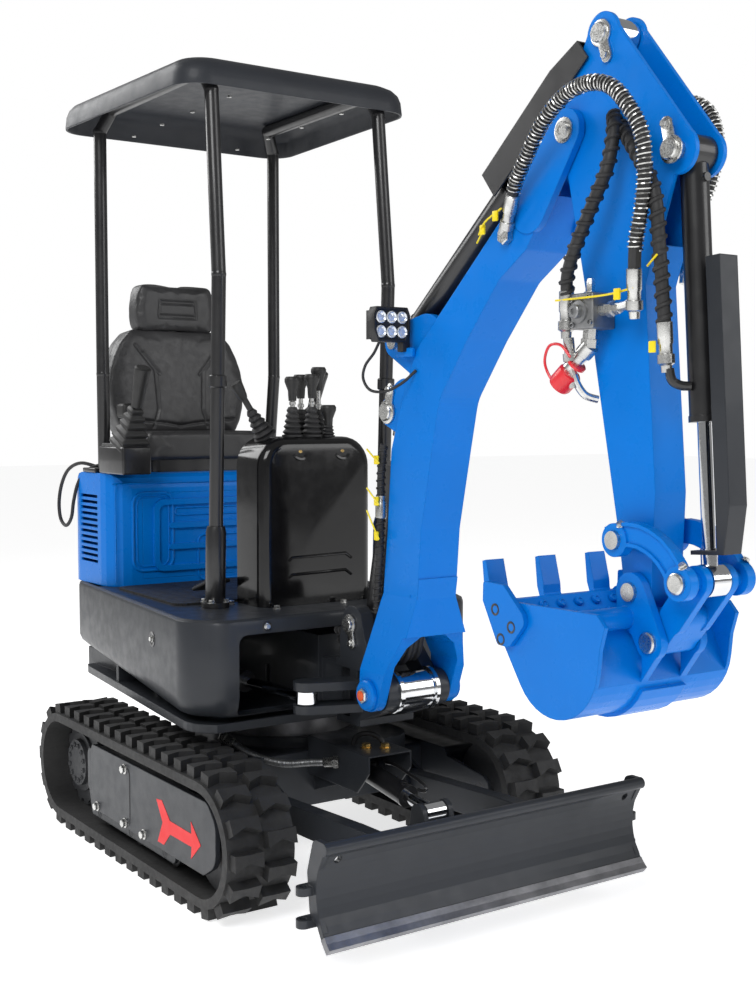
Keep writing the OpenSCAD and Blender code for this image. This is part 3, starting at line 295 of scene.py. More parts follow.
def rounded(piece, width, segments=2):
    """Rounds a piece's sharp edges."""
    take(piece)
    edges = piece.modifiers.new("edges", "BEVEL")
    edges.width = width
    edges.segments = segments
    edges.limit_method = "ANGLE"
    edges.angle_limit = math.radians(35)
    bpy.ops.object.modifier_apply(modifier="edges")
    return piece


def cube(low, high):
    """A box between two corners, to be shaped."""
    bpy.ops.object.select_all(action="DESELECT")
    bpy.ops.mesh.primitive_cube_add(size=1, location=(low + high) / 2, scale=high - low)
    settle()
    return bpy.context.object


def block(low, high, edge):
    """A box between two corners with rounded edges."""
    return rounded(cube(low, high), edge, 3)


def turned(profile, sides=24):
    """A solid turned about +Z from (radius, height) steps in metres."""
    bpy.ops.object.select_all(action="DESELECT")
    first_r, first_z = profile[0]
    bpy.ops.mesh.primitive_circle_add(vertices=sides, radius=first_r, fill_type="NGON", location=(0, 0, first_z))
    settle()
    mode("EDIT")
    bpy.ops.mesh.select_mode(type="FACE")
    bpy.ops.mesh.select_all(action="SELECT")
    for (r0, z0), (r1, z1) in zip(profile, profile[1:]):
        bpy.ops.mesh.extrude_region_move(TRANSFORM_OT_translate={"value": (0, 0, z1 - z0)})
        bpy.ops.transform.resize(value=(r1 / r0, r1 / r0, 1), center_override=(0, 0, z1))
    outwards()
    return bpy.context.object


def aimed(piece, place, along):
    """Stands a piece made along +Z at a place, along a direction."""
    take(piece)
    piece.rotation_euler = Vector(along).to_track_quat("Z", "Y").to_euler()
    piece.location = place
    settle()
    return piece


def merged(pieces):
    """Several pieces as one mesh."""
    take(*pieces)
    if len(pieces) > 1:
        bpy.ops.object.join()
    return bpy.context.object


def copies(piece, spots):
    """A copy of a piece at each (place, direction), joined. The first piece goes."""
    made = []
    for place, along in spots:
        twin = piece.copy()
        twin.data = piece.data.copy()
        bpy.context.collection.objects.link(twin)
        made.append(aimed(twin, place, along))
    bpy.data.objects.remove(piece)
    return merged(made)


def both_sides(x, y, z, place=at):
    """Spots for copies on the right and left, facing outwards."""
    return [(place(x, side * y, z), (0, side, 0)) for side in (-1, 1)]


def hex_bolt(size):
    """A hex bolt head on its washer, size across the corners in metres."""
    washer = turned([(size * 0.62, 0), (size * 0.62, size * 0.10), (size * 0.55, size * 0.13)], 20)
    head = turned([(size * 0.48, size * 0.1), (size * 0.5, size * 0.16), (size * 0.5, size * 0.46),
                   (size * 0.42, size * 0.54)], 6)
    return merged([head, washer])


def face_of(corners):
    """One flat face with a number of corners, to be set in place."""
    bpy.ops.object.select_all(action="DESELECT")
    bpy.ops.mesh.primitive_circle_add(vertices=corners, radius=1, fill_type="NGON")
    return bpy.context.object


def outwards():
    """Turns all faces of the piece in edit mode outwards, and leaves edit mode."""
    bpy.ops.mesh.select_all(action="SELECT")
    bpy.ops.mesh.normals_make_consistent(inside=False)
    mode("OBJECT")


def plate(outline, thick, edge=0.0):
    """A flat plate from an (x, y) outline in metres, thickened along +Z."""
    piece = face_of(len(outline))
    for vertex, (x, y) in zip(piece.data.vertices, outline):
        vertex.co = (x, y, 0)
    mode("EDIT")
    bpy.ops.mesh.select_mode(type="FACE")
    bpy.ops.mesh.select_all(action="SELECT")
    bpy.ops.mesh.extrude_region_move(TRANSFORM_OT_translate={"value": (0, 0, thick)})
    outwards()
    return rounded(piece, edge) if edge else piece


def smooth_path(points, steps, closed=False):
    """Points along a smooth line through the given ones."""
    count = len(points)
    path = []
    for i in range(count if closed else count - 1):
        if closed:
            a, b, c, d = (points[(i + k) % count] for k in (-1, 0, 1, 2))
        else:
            a, b, c, d = points[max(i - 1, 0)], points[i], points[i + 1], points[min(i + 2, count - 1)]
        for k in range(steps):
            t = k / steps
            path.append(0.5 * (2 * b + (c - a) * t + (2 * a - 5 * b + 4 * c - d) * t * t
                               + (3 * b - a - 3 * c + d) * t * t * t))
    return path if closed else path + [points[-1]]


def path_on(place, points, steps):
    """A smooth line through points in millimetres, set by at or on_arm."""
    return smooth_path([place(*point) for point in points], steps)


def tube(path, radius, ring=2, closed=False):
    """A round tube along a line, as a mesh."""
    line = bpy.data.curves.new("line", "CURVE")
    line.dimensions = "3D"
    spline = line.splines.new("POLY")
    spline.points.add(len(path) - 1)
    for spot, point in zip(spline.points, path):
        spot.co = (*point, 1)
    spline.use_cyclic_u = closed
    line.bevel_depth = radius
    line.bevel_resolution = ring
    line.use_fill_caps = not closed
    piece = bpy.data.objects.new("line", line)
    bpy.context.collection.objects.link(piece)
    take(piece)
    bpy.ops.object.convert(target="MESH")
    return bpy.context.object


def helix(path, radius, pitch, turn_steps=12):
    """A line that winds round another one."""
    lengths = [0.0]
    for a, b in zip(path, path[1:]):
        lengths.append(lengths[-1] + (b - a).length)
    count = int(lengths[-1] / pitch * turn_steps)
    out = []
    side = None
    k = 0
    for i in range(count + 1):
        s = lengths[-1] * i / count
        while k < len(path) - 2 and lengths[k + 1] < s:
            k += 1
        t = (s - lengths[k]) / max(lengths[k + 1] - lengths[k], 1e-9)
        ahead = (path[k + 1] - path[k]).normalized()
        if side is None:
            side = ahead.orthogonal().normalized()
        side = (side - ahead * side.dot(ahead)).normalized()
        turn = 2 * math.pi * i / turn_steps
        out.append(path[k].lerp(path[k + 1], t) + radius * (math.cos(turn) * side + math.sin(turn) * ahead.cross(side)))
    return out


def bellows(low_r, top_r, height, folds, sides=20):
    """A folded rubber boot along +Z."""
    profile = [(low_r * 1.08, 0), (low_r * 1.08, height * 0.06)]
    for i in range(folds):
        r = low_r + (top_r - low_r) * i / (folds - 1)
        z = height * (0.08 + 0.9 * i / folds)
        step = height * 0.9 / folds
        profile += [(r * 0.80, z), (r, z + step * 0.38), (r, z + step * 0.52), (r * 0.78, z + step * 0.92)]
    profile.append((top_r * 0.7, height))
    return turned(profile, sides)


def pick(piece, kind, test):
    """Selects the edges or faces that pass a test, in edit mode."""
    mode("EDIT")
    bpy.ops.mesh.select_mode(type=kind)
    bpy.ops.mesh.select_all(action="DESELECT")
    mode("OBJECT")
    ends = piece.data.vertices
    if kind == "EDGE":
        for edge in piece.data.edges:
            edge.select = test(ends[edge.vertices[0]].co, ends[edge.vertices[1]].co)
    else:
        for face in piece.data.polygons:
            face.select = test(face)
    mode("EDIT")


# Seat: padded pieces with sewn lines

def stuffed(piece, cap):
    """Fills a closed shape like a cushion, with its movement capped in metres."""
    take(piece)
    even = piece.modifiers.new("even", "REMESH")
    even.mode = "VOXEL"
    even.voxel_size = 0.006
    bpy.ops.object.modifier_apply(modifier="even")
    before = [vertex.co.copy() for vertex in piece.data.vertices]
    cloth = piece.modifiers.new("fill", "CLOTH")
    cloth.settings.use_pressure = True
    cloth.settings.uniform_pressure_force = 4
    cloth.settings.effector_weights.gravity = 0
    for number in range(1, 21):
        bpy.context.scene.frame_set(number)
    bpy.ops.object.modifier_apply(modifier="fill")
    bpy.context.scene.frame_set(1)
    for vertex, rest in zip(piece.data.vertices, before):
        move = vertex.co - rest
        if move.length > cap:
            vertex.co = rest + move * (cap / move.length)
    finer = piece.modifiers.new("finer", "SUBSURF")
    finer.levels = 1
    finer.render_levels = 1
    bpy.ops.object.modifier_apply(modifier="finer")
    return piece


def pad_form(low, high, cuts, widths, edge):
    """A rounded box whose width is set row by row from its lowest to its highest."""
    piece = cube(low, high)
    mode("EDIT")
    bpy.ops.mesh.select_all(action="SELECT")
    bpy.ops.mesh.subdivide(number_cuts=cuts)
    for row, width in enumerate(widths):
        mode("OBJECT")
        height = low.z + (high.z - low.z) * row / (cuts + 1)
        for part in (piece.data.polygons, piece.data.edges):
            part.foreach_set("select", [False] * len(part))
        for vertex in piece.data.vertices:
            vertex.select = abs(vertex.co.z - height) < 0.002
        mode("EDIT")
        bpy.ops.mesh.select_mode(type="VERT")
        bpy.ops.transform.resize(value=(1, width, 1), center_override=((low.x + high.x) / 2, 0, height))
    mode("OBJECT")
    return rounded(piece, edge, 4)


def sewn(piece, lines, depth, width):
    """Presses sewn lines, given as (y, z) points in metres, into a pad's front."""
    pairs = [(Vector(a), Vector(b)) for line in lines for a, b in zip(line, line[1:])]
    piece.data.update()
    for vertex in piece.data.vertices:
        if vertex.normal.x < 0.25:
            continue
        spot = Vector((vertex.co.y, vertex.co.z))
        near = 1.0
        for a, b in pairs:
            t = max(0.0, min(1.0, (spot - a).dot(b - a) / (b - a).length_squared))
            near = min(near, (spot - a.lerp(b, t)).length)
        if near < 3 * width:
            vertex.co.x -= depth * math.exp(-(near / width) ** 2)


def leaned_back(piece, degrees, place):
    """Tips a pad backwards about a point."""
    take(piece)
    turn = math.radians(-degrees)
    for vertex in piece.data.vertices:
        d = vertex.co - place
        vertex.co = place + Vector((d.x * math.cos(turn) + d.z * math.sin(turn), d.y,
                                    d.z * math.cos(turn) - d.x * math.sin(turn)))


seat_back = stuffed(pad_form(at(-756, -238, 1142), at(-656, 238, 1480), 7,
                             [0.86, 0.95, 1.00, 1.02, 1.02, 0.99, 0.93, 0.84, 0.68], 0.030), 0.006)
sewn(seat_back, [[(side * 0.150, 1.425), (side * 0.085, 1.345), (side * 0.078, 1.22), (side * 0.095, 1.165)]
                 for side in (-1, 1)] + [[(side * 0.125, 1.40), (side * 0.072, 1.335)] for side in (-1, 1)]
     + [[(-0.19, 1.19), (-0.05, 1.176), (0, 1.168), (0.05, 1.176), (0.19, 1.19)]], 0.006, 0.0045)
leaned_back(seat_back, 5, at(-700, 0, 1150))
finished(seat_back, "padded_seat_back", vinyl, "house", 60)
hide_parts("seat_back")

cushion = stuffed(pad_form(at(-744, -214, 1072), at(-466, 214, 1150), 5, [0.95, 1, 1, 1.01, 1, 0.97, 0.93], 0.030),
                  0.006)
finished(cushion, "padded_seat_cushion", vinyl, "house", 60)
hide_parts("seat_cushion")

rest = stuffed(pad_form(at(-760, -138, 1472), at(-682, 138, 1622), 5, [0.93, 1, 1.02, 1.02, 1.0, 0.97, 0.90], 0.034),
               0.005)
sewn(rest, [[(-0.062, 1.572), (0.062, 1.572)], [(-0.062, 1.562), (0.062, 1.562)], [(-0.066, 1.517), (0.066, 1.517)],
            [(-0.066, 1.527), (0.066, 1.527)], [(-0.062, 1.572), (-0.066, 1.517)], [(0.062, 1.572), (0.066, 1.517)]],
     0.004, 0.003)
finished(rest, "padded_headrest", vinyl, "house", 60)
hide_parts("headrest")


# Operator's controls

pods = [block(at(-512, 300 * side - 46, 1030.5), at(-335, 300 * side + 46, 1112), 0.006) for side in (-1, 1)]
pods += [block(at(-505, 300 * side - 40, 1110), at(-342, 300 * side + 40, 1122), 0.005) for side in (-1, 1)]
finished(merged(pods), "joystick_boxes", black_paint, "house")
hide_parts("joystick_pods")

sticks = []
for side in (-1, 1):
    lean = (at(-285, 300 * side, 1356) - at(-390, 300 * side, 1110)).normalized()
    if side < 0:
        boot = turned([(0.066, -0.012), (0.066, 0.0), (0.055, 0.006), (0.062, 0.014), (0.062, 0.020), (0.047, 0.028),
                       (0.053, 0.036),
                       (0.052, 0.042), (0.039, 0.050), (0.044, 0.058), (0.044, 0.064), (0.032, 0.072), (0.036, 0.080),
                       (0.036, 0.086), (0.024, 0.094), (0.028, 0.102), (0.026, 0.110), (0.016, 0.116)], 4)
        take(boot)
        boot.rotation_euler = (0, 0, math.radians(45))
        settle()
        rounded(boot, 0.003)
    else:
        boot = bellows(0.042, 0.022, 0.115, 6)
    sticks.append(aimed(boot, at(-385, 300 * side, 1122), lean))
    grip = turned([(0.011, 0.09), (0.011, 0.125), (0.0165, 0.128), (0.0175, 0.150), (0.0205, 0.185), (0.0225, 0.215),
                   (0.0250, 0.238), (0.0245, 0.246), (0.019, 0.250)], 20)
    sticks.append(aimed(grip, at(-385, 300 * side, 1112), lean))
finished(merged(sticks), "joystick_grips", black_plastic, "house")
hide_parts("joysticks")

throttle = aimed(turned([(0.006, 0), (0.006, 0.075)], 12), at(-470, -268, 1130), (0.05, 0, 1))
finished(throttle, "throttle_stem", chrome, "house")
throttle_box = block(at(-505, -292, 1196), at(-448, -238, 1240), 0.010)
finished(throttle_box, "throttle_knob", black_plastic, "house")

boots, knobs, collars = [], [], []
for x, y, top, r in ((135, -54, 1308, 27), (135, 8, 1316, 27), (76, 8, 1316, 25), (76, 66, 1338, 25),
                     (137, 60, 1232, 17)):
    boots.append(aimed(bellows(r / 1000, r * 0.0006, r * 0.0030, 5), at(x, y, 1145), (0, 0, 1)))
    low = 1145 + r * 2.9
    collars.append(aimed(turned([(0.0065, 0), (0.0065, 0.012), (0.009, 0.013), (0.009, 0.02), (0.006, 0.022),
                                 (0.006, max(0.03, (top - 60 - low) / 1000))], 12),
                         at(x, y, low - 4), (0, 0, 1)))
    knobs.append(aimed(turned([(0.0105, 0), (0.0115, 0.010), (0.0125, 0.028), (0.0185, 0.044), (0.0215, 0.052),
                               (0.0215, 0.060),
                               (0.0175, 0.066)], 20), at(x, y, top - 66), (0, 0, 1)))
side_lean = at(95, -205, 1292) - at(95, -112, 1150)
boots.append(aimed(bellows(0.030, 0.015, 0.085, 5), at(95, -116, 1146), side_lean))
knobs.append(aimed(turned([(0.0085, 0.085), (0.0085, 0.118), (0.010, 0.119), (0.0125, 0.126), (0.0165, 0.150),
                           (0.018, 0.162), (0.015, 0.169)], 18),
                   at(95, -116, 1148), side_lean))
for y in (-215, 150):
    pedal = block(at(-90, y - 35, 712), at(18, y + 35, 722), 0.004)
    ribs = [block(at(-84 + 17 * k, y - 30, 720), at(-77 + 17 * k, y + 30, 726), 0.002) for k in range(6)]
    pedal = merged([pedal] + ribs)
    spot = at(-90, y, 708)
    for vertex in pedal.data.vertices:
        d = vertex.co - spot
        vertex.co = spot + Vector((d.x * 0.951 - d.z * 0.309, d.y, d.z * 0.951 + d.x * 0.309))
    boots.append(pedal)
finished(merged(boots), "lever_boots", hose_rubber, "house")
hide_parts("console_levers")
finished(merged(knobs), "lever_knobs", black_plastic, "house")
finished(merged(collars), "lever_stems", zinc, "house")


low, high = at(46, -179, 690.5), at(185, 173, 1145)
shell = cube(low, high)
pick(shell, "EDGE", lambda a, b: min(a.z, b.z) > high.z - 0.001 and abs(a.y - b.y) < 0.001)
bpy.ops.mesh.bevel(offset=0.080, segments=8, affect="EDGES")
pick(shell, "EDGE", lambda a, b: min(a.x, b.x) > high.x - 0.001 and max(a.z, b.z) > low.z + 0.001)
bpy.ops.mesh.bevel(offset=0.030, segments=5, affect="EDGES")
mode("OBJECT")
ribs = [tube([at(183, -96, z - 8), at(185.5, -86, z), at(185.5, 84, z + 4), at(184, 104, z - 10)], 0.0045,
             2) for z in (774, 820)]
wells = [aimed(turned([(0.026, -0.004), (0.026, 0.001), (0.020, 0.002), (0.017, -0.002)], 24), at(180, y, 1106),
               (0.9, 0, 0.42)) for y in (-59, 75)]
finished(merged([shell] + ribs + wells), "console_shell", gloss_plastic, "house")
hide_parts("console")

screw = turned([(0.0065, 0), (0.0065, 0.004), (0.0045, 0.006)], 6)
finished(copies(screw, [(at(180, y, 1106), (0.9, 0, 0.42)) for y in (-59, 75)]), "console_screws", brass, "house")


# Hoses of the arm

def spring_hose(name, points):
    """A rubber hose in a steel spring, from the boom to the arm."""
    path = smooth_path(points, 8)
    hose = tube(path, ARM_HOSE, 3)
    finished(hose, name, hose_rubber, None)
    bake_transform(hose)
    spring = tube(helix(path[4:-6], 0.0150, 0.0088, 10), 0.0017, 0)
    finished(spring, name + "_spring", zinc, None, 60)
    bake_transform(spring)


near = [at(1092, -86, 1655), at(1118, -96, 1688), at(1165, -108, 1730), at(1225, -120, 1783), at(1297, -128, 1822),
        at(1369, -132, 1832),
        on_arm(1432, -130, 1800), on_arm(1473, -126, 1750), on_arm(1493, -118, 1700), on_arm(1492, -112, 1640),
        on_arm(1475, -106, 1570), on_arm(1450, -100, 1509), on_arm(1436, -92, 1458)]
spring_hose("near_hose", near)
far = [at(1092, 86, 1655), at(1118, 96, 1688), at(1165, 108, 1730), at(1240, 118, 1783), at(1320, 122, 1815),
       on_arm(1390, 122, 1812),
       on_arm(1440, 118, 1785), on_arm(1466, 112, 1740), on_arm(1472, 106, 1691), on_arm(1458, 100, 1637),
       on_arm(1436, 92, 1588), on_arm(1424, 80, 1530)]
spring_hose("far_hose", far)

for name, points in (("near_wrapped_hose", [on_arm(1352, -46, 1775), on_arm(1380, -74, 1742), on_arm(1376, -92, 1667),
                                            on_arm(1343, -104, 1600),
                                          on_arm(1300, -108, 1533), on_arm(1268, -106, 1479), on_arm(1254, -98, 1440)]),
                     ("front_wrapped_hose", [on_arm(1372, -46, 1750), on_arm(1422, -72, 1704),
                                             on_arm(1478, -86, 1625), on_arm(1494, -88, 1575),
                                           on_arm(1493, -84, 1520), on_arm(1489, -76, 1440), on_arm(1486, -70, 1350)])):
    path = smooth_path(points, 8)
    core = tube(path, ARM_HOSE, 3)
    wrap = tube(helix(path, ARM_HOSE, 0.024, 14), 0.0045, 1)
    finished(merged([core, wrap]), name, hose_rubber, "arm", 50)

ferrule = turned([(0.0125, 0), (0.0150, 0.002), (0.0150, 0.040), (0.0130, 0.044), (0.0130, 0.060), (0.0165, 0.061),
                  (0.0165, 0.078), (0.011, 0.082), (0.010, 0.095)], 16)
spots = [(on_arm(1437, -94, 1462), on_arm(1424, -84, 1380) - on_arm(1437, -94, 1462)),
         (on_arm(1254, -98, 1446), (0, 0, -1)), (on_arm(1486, -70, 1356), (0.03, 0.05, -1)),
         (on_arm(1424, 80, 1536), (0.0, -0.2, -1))]
finished(copies(ferrule, spots), "arm_hose_ferrules", zinc, "arm")
ferrule = turned([(0.0125, 0), (0.0150, 0.002), (0.0150, 0.040), (0.0130, 0.044), (0.0130, 0.060), (0.0165, 0.061),
                  (0.0165, 0.078), (0.011, 0.082)], 16)
finished(copies(ferrule, [(at(1098, side * 88, 1663), (-0.5, -side * 0.22, -0.75)) for side in (-1, 1)]),
         "boom_hose_ferrules", zinc, "boom")
elbow = [tube(path_on(at, [(1052, side * 73, 1601), (1040, side * 68, 1590), (1045, side * 62, 1580)], 6), 0.010,
              3) for side in (-1, 1)]
nuts = copies(turned([(0.017, 0), (0.019, 0.002), (0.019, 0.016), (0.016, 0.019)], 6),
              both_sides(1048, 58, 1584))
finished(merged(elbow + [nuts]), "boom_hose_elbows", zinc, "boom")


# Relief valve on the arm, with its coupler and red cap

body = block(on_arm(1266, -104, 1366), on_arm(1334, -42, 1432), 0.004)
boss = turned([(0.022, 0), (0.022, 0.006), (0.014, 0.007), (0.014, 0.018), (0.012, 0.020), (0.006, 0.020),
               (0.006, 0.016)], 20)
aimed(boss, on_arm(1296, -103, 1398), (0, -1, 0))
screws = copies(turned([(0.0055, 0), (0.0055, 0.004), (0.0035, 0.005), (0.0032, 0.002)], 12),
                [(on_arm(1274 + 50 * i, -103, 1374 + 50 * k), (0, -1, 0)) for i in (0, 1) for k in (0, 1)])
finished(merged([body, boss, screws]), "relief_valve", valve_grey, "arm")
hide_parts("valve_block")
fit = [aimed(turned([(0.013, 0), (0.013, 0.008), (0.010, 0.009), (0.010, 0.028), (0.007, 0.034), (0.003, 0.036)], 6),
             on_arm(1300, -78, 1430), (0, 0, 1)),
       aimed(turned([(0.012, 0), (0.012, 0.018), (0.016, 0.019), (0.016, 0.034), (0.012, 0.037), (0.011, 0.05)], 6),
             on_arm(1332, -80, 1398), (1, 0, 0)),
       tube(path_on(on_arm, [(1376, -80, 1398), (1402, -81, 1398), (1420, -83, 1408), (1425, -85, 1430)], 6), 0.009, 3),
       aimed(turned([(0.015, 0), (0.015, 0.022), (0.018, 0.023), (0.018, 0.040)], 6), on_arm(1298, -78, 1368),
             (-0.1, 0, -1)),
       aimed(turned([(0.018, -0.004), (0.018, 0.02), (0.014, 0.022), (0.014, 0.045), (0.017, 0.046), (0.017, 0.075)],
                    16), on_arm(1292, -78, 1330), (-0.75, -0.15, -0.7)),
       aimed(turned([(0.011, 0), (0.011, 0.03), (0.015, 0.031), (0.015, 0.046), (0.010, 0.048), (0.010, 0.10)], 14),
             on_arm(1253, -97, 1352), (0.05, 0.1, -1)),
       tube(path_on(on_arm, [(1253, -97, 1352), (1256, -90, 1280), (1262, -70, 1240), (1274, -44, 1228)], 6), 0.008, 3)]
finished(merged(fit), "valve_fittings", zinc, "arm")
cap = aimed(turned([(0.022, 0), (0.025, 0.003), (0.025, 0.036), (0.022, 0.042), (0.012, 0.044)], 24),
            on_arm(1247, -88, 1285), (-0.75, -0.15, -0.7))
ring = aimed(turned([(0.021, 0), (0.021, 0.006), (0.0175, 0.006)], 20), on_arm(1262, -84, 1301), (-0.75, -0.15, -0.7))
strap = tube(path_on(on_arm, [(1266, -106, 1312), (1246, -112, 1338), (1212, -112, 1340), (1192, -108, 1310),
                              (1202, -102, 1276),
                          (1226, -98, 1258)], 8), 0.003, 2)
finished(merged([cap, ring, strap]), "red_coupler_cap", red_plastic, "arm")


elbow = tube(path_on(on_arm, [(1489, -65, 1268), (1490, -60, 1246), (1498, -46, 1236), (1508, -30, 1234)], 6), 0.009, 3)
finished(elbow, "bucket_cylinder_elbow", black_paint, "bucket_barrel")


# Yellow ties

def tie(points, tag):
    """A thin tie with its square tag."""
    strip = tube(smooth_path(points, 5), 0.0022, 1)
    return [strip, block(tag - Vector((0.008, 0.003, 0.011)), tag + Vector((0.008, 0.003, 0.011)), 0.002)]


arm_ties = tie([on_arm(1236, -112, 1428), on_arm(1300, -108, 1424), on_arm(1380, -106, 1420),
                on_arm(1440, -100, 1424)], on_arm(1408, -112, 1416))
arm_ties += tie([on_arm(1464, -86, 1462), on_arm(1500, -98, 1476)], on_arm(1470, -88, 1310))
finished(merged(arm_ties), "arm_ties", yellow_tie, "arm")
boom_ties = tie([at(962, -70, 1596), at(1000, -84, 1618), at(1058, -86, 1640)], at(1040, -88, 1626))
boom_ties += tie([at(948, -64, 1580), at(984, -76, 1602)], at(982, -76, 1604))
finished(merged(boom_ties), "boom_ties", yellow_tie, "boom")


# Pin keepers: zinc drops with a bolt

def keeper(place, side, turn, body, name, width=0.034):
    """A drop-shaped keeper plate over a pin's end, with its bolt towards turn degrees."""
    outline = [(width * math.cos(math.radians(a)), width * math.sin(math.radians(a))) for a in range(30, 331, 20)]
    outline += [(width * 1.9 + width * 0.5 * math.cos(math.radians(a)),
                 width * 0.5 * math.sin(math.radians(a))) for a in (-75, -40, 0, 40, 75)]
    flat = plate(outline, 0.006, 0.0015)
    head = turned([(width * 0.74, 0.006), (width * 0.74, 0.012), (width * 0.66, 0.015)], 24)
    nut = hex_bolt(width * 0.62)
    take(nut)
    nut.location = (width * 1.85, 0, 0.006)
    settle()
    part = merged([flat, head, nut])
    take(part)
    part.rotation_euler = (math.radians(90 if side < 0 else -90), 0, 0)
    settle()
    spin = math.radians(turn)
    for vertex in part.data.vertices:
        x, y, z = vertex.co
        x, z = (x * math.cos(spin) - z * math.sin(spin), x * math.sin(spin) + z * math.cos(spin))
        vertex.co = place + Vector((x, y, z))
    return finished(part, name, zinc, body)


for side, word in ((-1, "right"), (1, "left")):
    keeper(on_arm(1324, side * 42.3, 1946), side, -70, "arm", "arm_eye_keeper_" + word, 0.027)
    keeper(on_arm(1510, side * 56.3, 1672), side, 105, "arm", "bucket_cylinder_keeper_" + word, 0.027)
keeper(at(583, -48.3, 1211), -1, 75, "boom", "boom_cylinder_keeper", 0.030)
keeper(at(465, -82.3, 675), -1, -75, "bracket", "bracket_keeper", 0.026)


# Boom

cap = turned([(0.038, 0), (0.038, 0.010), (0.033, 0.014), (0.024, 0.014)], 28)
finished(copies(cap, both_sides(605, 121.2, 523)), "boom_foot_caps", blue_paint, "boom")
bolt = turned([(0.017, 0), (0.019, 0.002), (0.019, 0.011), (0.016, 0.014)], 6)
finished(copies(bolt, both_sides(605, 131, 523)), "boom_foot_bolts", zinc, "boom")
finished(copies(turned([(0.0125, 0), (0.0125, 0.0025), (0.010, 0.0035)], 20), [(at(605, -144.5, 523), (0, -1, 0))]),
         "boom_foot_mark", orange_end, "boom")
pivot_cap = turned([(0.026, 0), (0.026, 0.003), (0.017, 0.004), (0.017, 0.010), (0.010, 0.010), (0.008, 0.004)], 24)
finished(copies(pivot_cap, both_sides(1225, 61.5, 1777)), "arm_pivot_washers", zinc, "boom")
lower = [at(690, -58.5, 770), at(694, -40, 768), at(697, -20, 778), at(699, 0, 790), at(700, 20, 792),
         at(699, 36, 776), at(697, 58.5, 776)]
weld = tube(smooth_path(lower, 6), 0.0035, 2)
finished(weld, "boom_weld", blue_paint, "boom")


sleeve = turned([(0.0520, 0), (0.0540, 0.002), (0.0540, 0.012), (0.0468, 0.013), (0.0468, 0.107), (0.0540, 0.108),
                 (0.0540, 0.118), (0.0520, 0.120)], 32)
finished(aimed(sleeve, at(605, -60, 523), (0, 1, 0)), "boom_foot_sleeve", chrome, "bracket")


# Hoses from the house through the bracket's window into the boom

for k, (y, z, row) in enumerate(((-38, 632, -36), (-30, 606, -18), (-22, 580, 0), (26, 620, 18), (34, 594, 36))):
    path = path_on(at, [(330, y, z + 8), (372, y, z + 6), (425, (y + row) / 2, (z + 596) / 2), (470, row, 594),
                        (520, row, 592)], 6)
    core = tube(path, FOOT_HOSE, 3)
    wrap = tube(helix(path[:len(path) // 2], FOOT_HOSE, 0.018, 12), 0.0030, 1)
    hose = finished(merged([core, wrap]), "bracket_hose_%d" % (k + 1), hose_rubber, None, 50)
    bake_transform(hose)
    dip = 6 if row == 0 else 0
    path = path_on(at, [(520, row, 592), (556, row, 592 - dip), (584, row * 0.95, 600 - dip),
                        (606, row * 0.85, 628 - dip),
                        (622, row * 0.7, 682), (634, row * 0.6, 742)], 6)
    hose = finished(tube(path, FOOT_HOSE, 3), "boom_foot_hose_%d" % (k + 1), hose_rubber, None, 50)
    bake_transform(hose)


for k, y in enumerate((-52, 52)):
    line = [at(540, y, 712), at(556, y * 1.15, 780), at(572, y * 1.25, 860), at(578, y * 1.28, 950),
            at(580, y * 1.3, 1050), at(588, y * 1.25, 1130)]
    path = smooth_path(line, 8)
    core = tube(path, BACK_HOSE, 3)
    wrap = tube(helix(path, BACK_HOSE, 0.018, 12), 0.003, 1)
    hose = finished(merged([core, wrap]), "boom_back_hose_%d" % (k + 1), hose_rubber, None, 50)
    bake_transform(hose)
ferrule = turned([(0.0125, 0), (0.0140, 0.002), (0.0140, 0.040), (0.0120, 0.044), (0.0120, 0.056)], 16)
finished(copies(ferrule, [(at(578, side * 66.5, 950), (0.02, 0, 1)) for side in (-1, 1)]), "boom_back_ferrules", zinc,
         "boom")
back_ties = []
for z, rise in ((900, 70), (985, 40), (1086, 34)):
    back_ties += tie([at(596, -84, z), at(580, -92, z + rise / 2), at(560, -96, z + rise)], at(584, -84, z + 8))
finished(merged(back_ties), "boom_back_ties", yellow_tie, "boom")


# Work lamp

LAMP = at(664, -113, 1415)
housing = plate([(-0.052, -0.012), (-0.040, -0.041), (0.040, -0.041), (0.052, -0.012), (0.052, 0.022), (0.044, 0.041),
                 (-0.044, 0.041), (-0.052, 0.022)], 0.030)
for vertex in housing.data.vertices:
    vertex.co = LAMP + Vector((vertex.co.z, vertex.co.x, vertex.co.y))
take(housing)
pick(housing, "FACE", lambda face: face.normal.x > 0.9)
bpy.ops.mesh.inset(thickness=0.006)
bpy.ops.mesh.extrude_region_move(TRANSFORM_OT_translate={"value": (-0.005, 0, 0)})
mode("OBJECT")
rounded(housing, 0.0015)
fins = [block(LAMP + Vector((-0.022, -0.040 + 0.010 * k, -0.034)), LAMP + Vector((0.002, -0.036 + 0.010 * k, 0.034)),
              0.001) for k in range(9)]
stay = block(at(668, -82, 1352), at(690, -58.5, 1400), 0.003)
finished(merged([housing, stay] + fins), "lamp_housing", black_plastic, "boom")
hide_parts("work_lamp")
lens = turned([(0.0145, 0), (0.0145, 0.0025), (0.0125, 0.004), (0.009, 0.001), (0.004, 0.002)], 20)
finished(copies(lens, [(LAMP + Vector((0.0252, 0.030 * i, 0.017 * k)), (1, 0, 0)) for i in (-1, 0, 1) for k in (-1,
                                                                                                                1)]),
         "lamp_lenses", lens_glass, "boom")
stay = block(at(640, -70, 1340), at(712, -58.3, 1362), 0.003)
finished(stay, "lamp_bracket", blue_paint, "boom")
lead = path_on(at, [(640, -108, 1388), (622, -116, 1352), (602, -128, 1322), (597, -131, 1290), (616, -122, 1262),
                    (654, -102, 1260),
                    (690, -80, 1280), (716, -61, 1308)], 8)
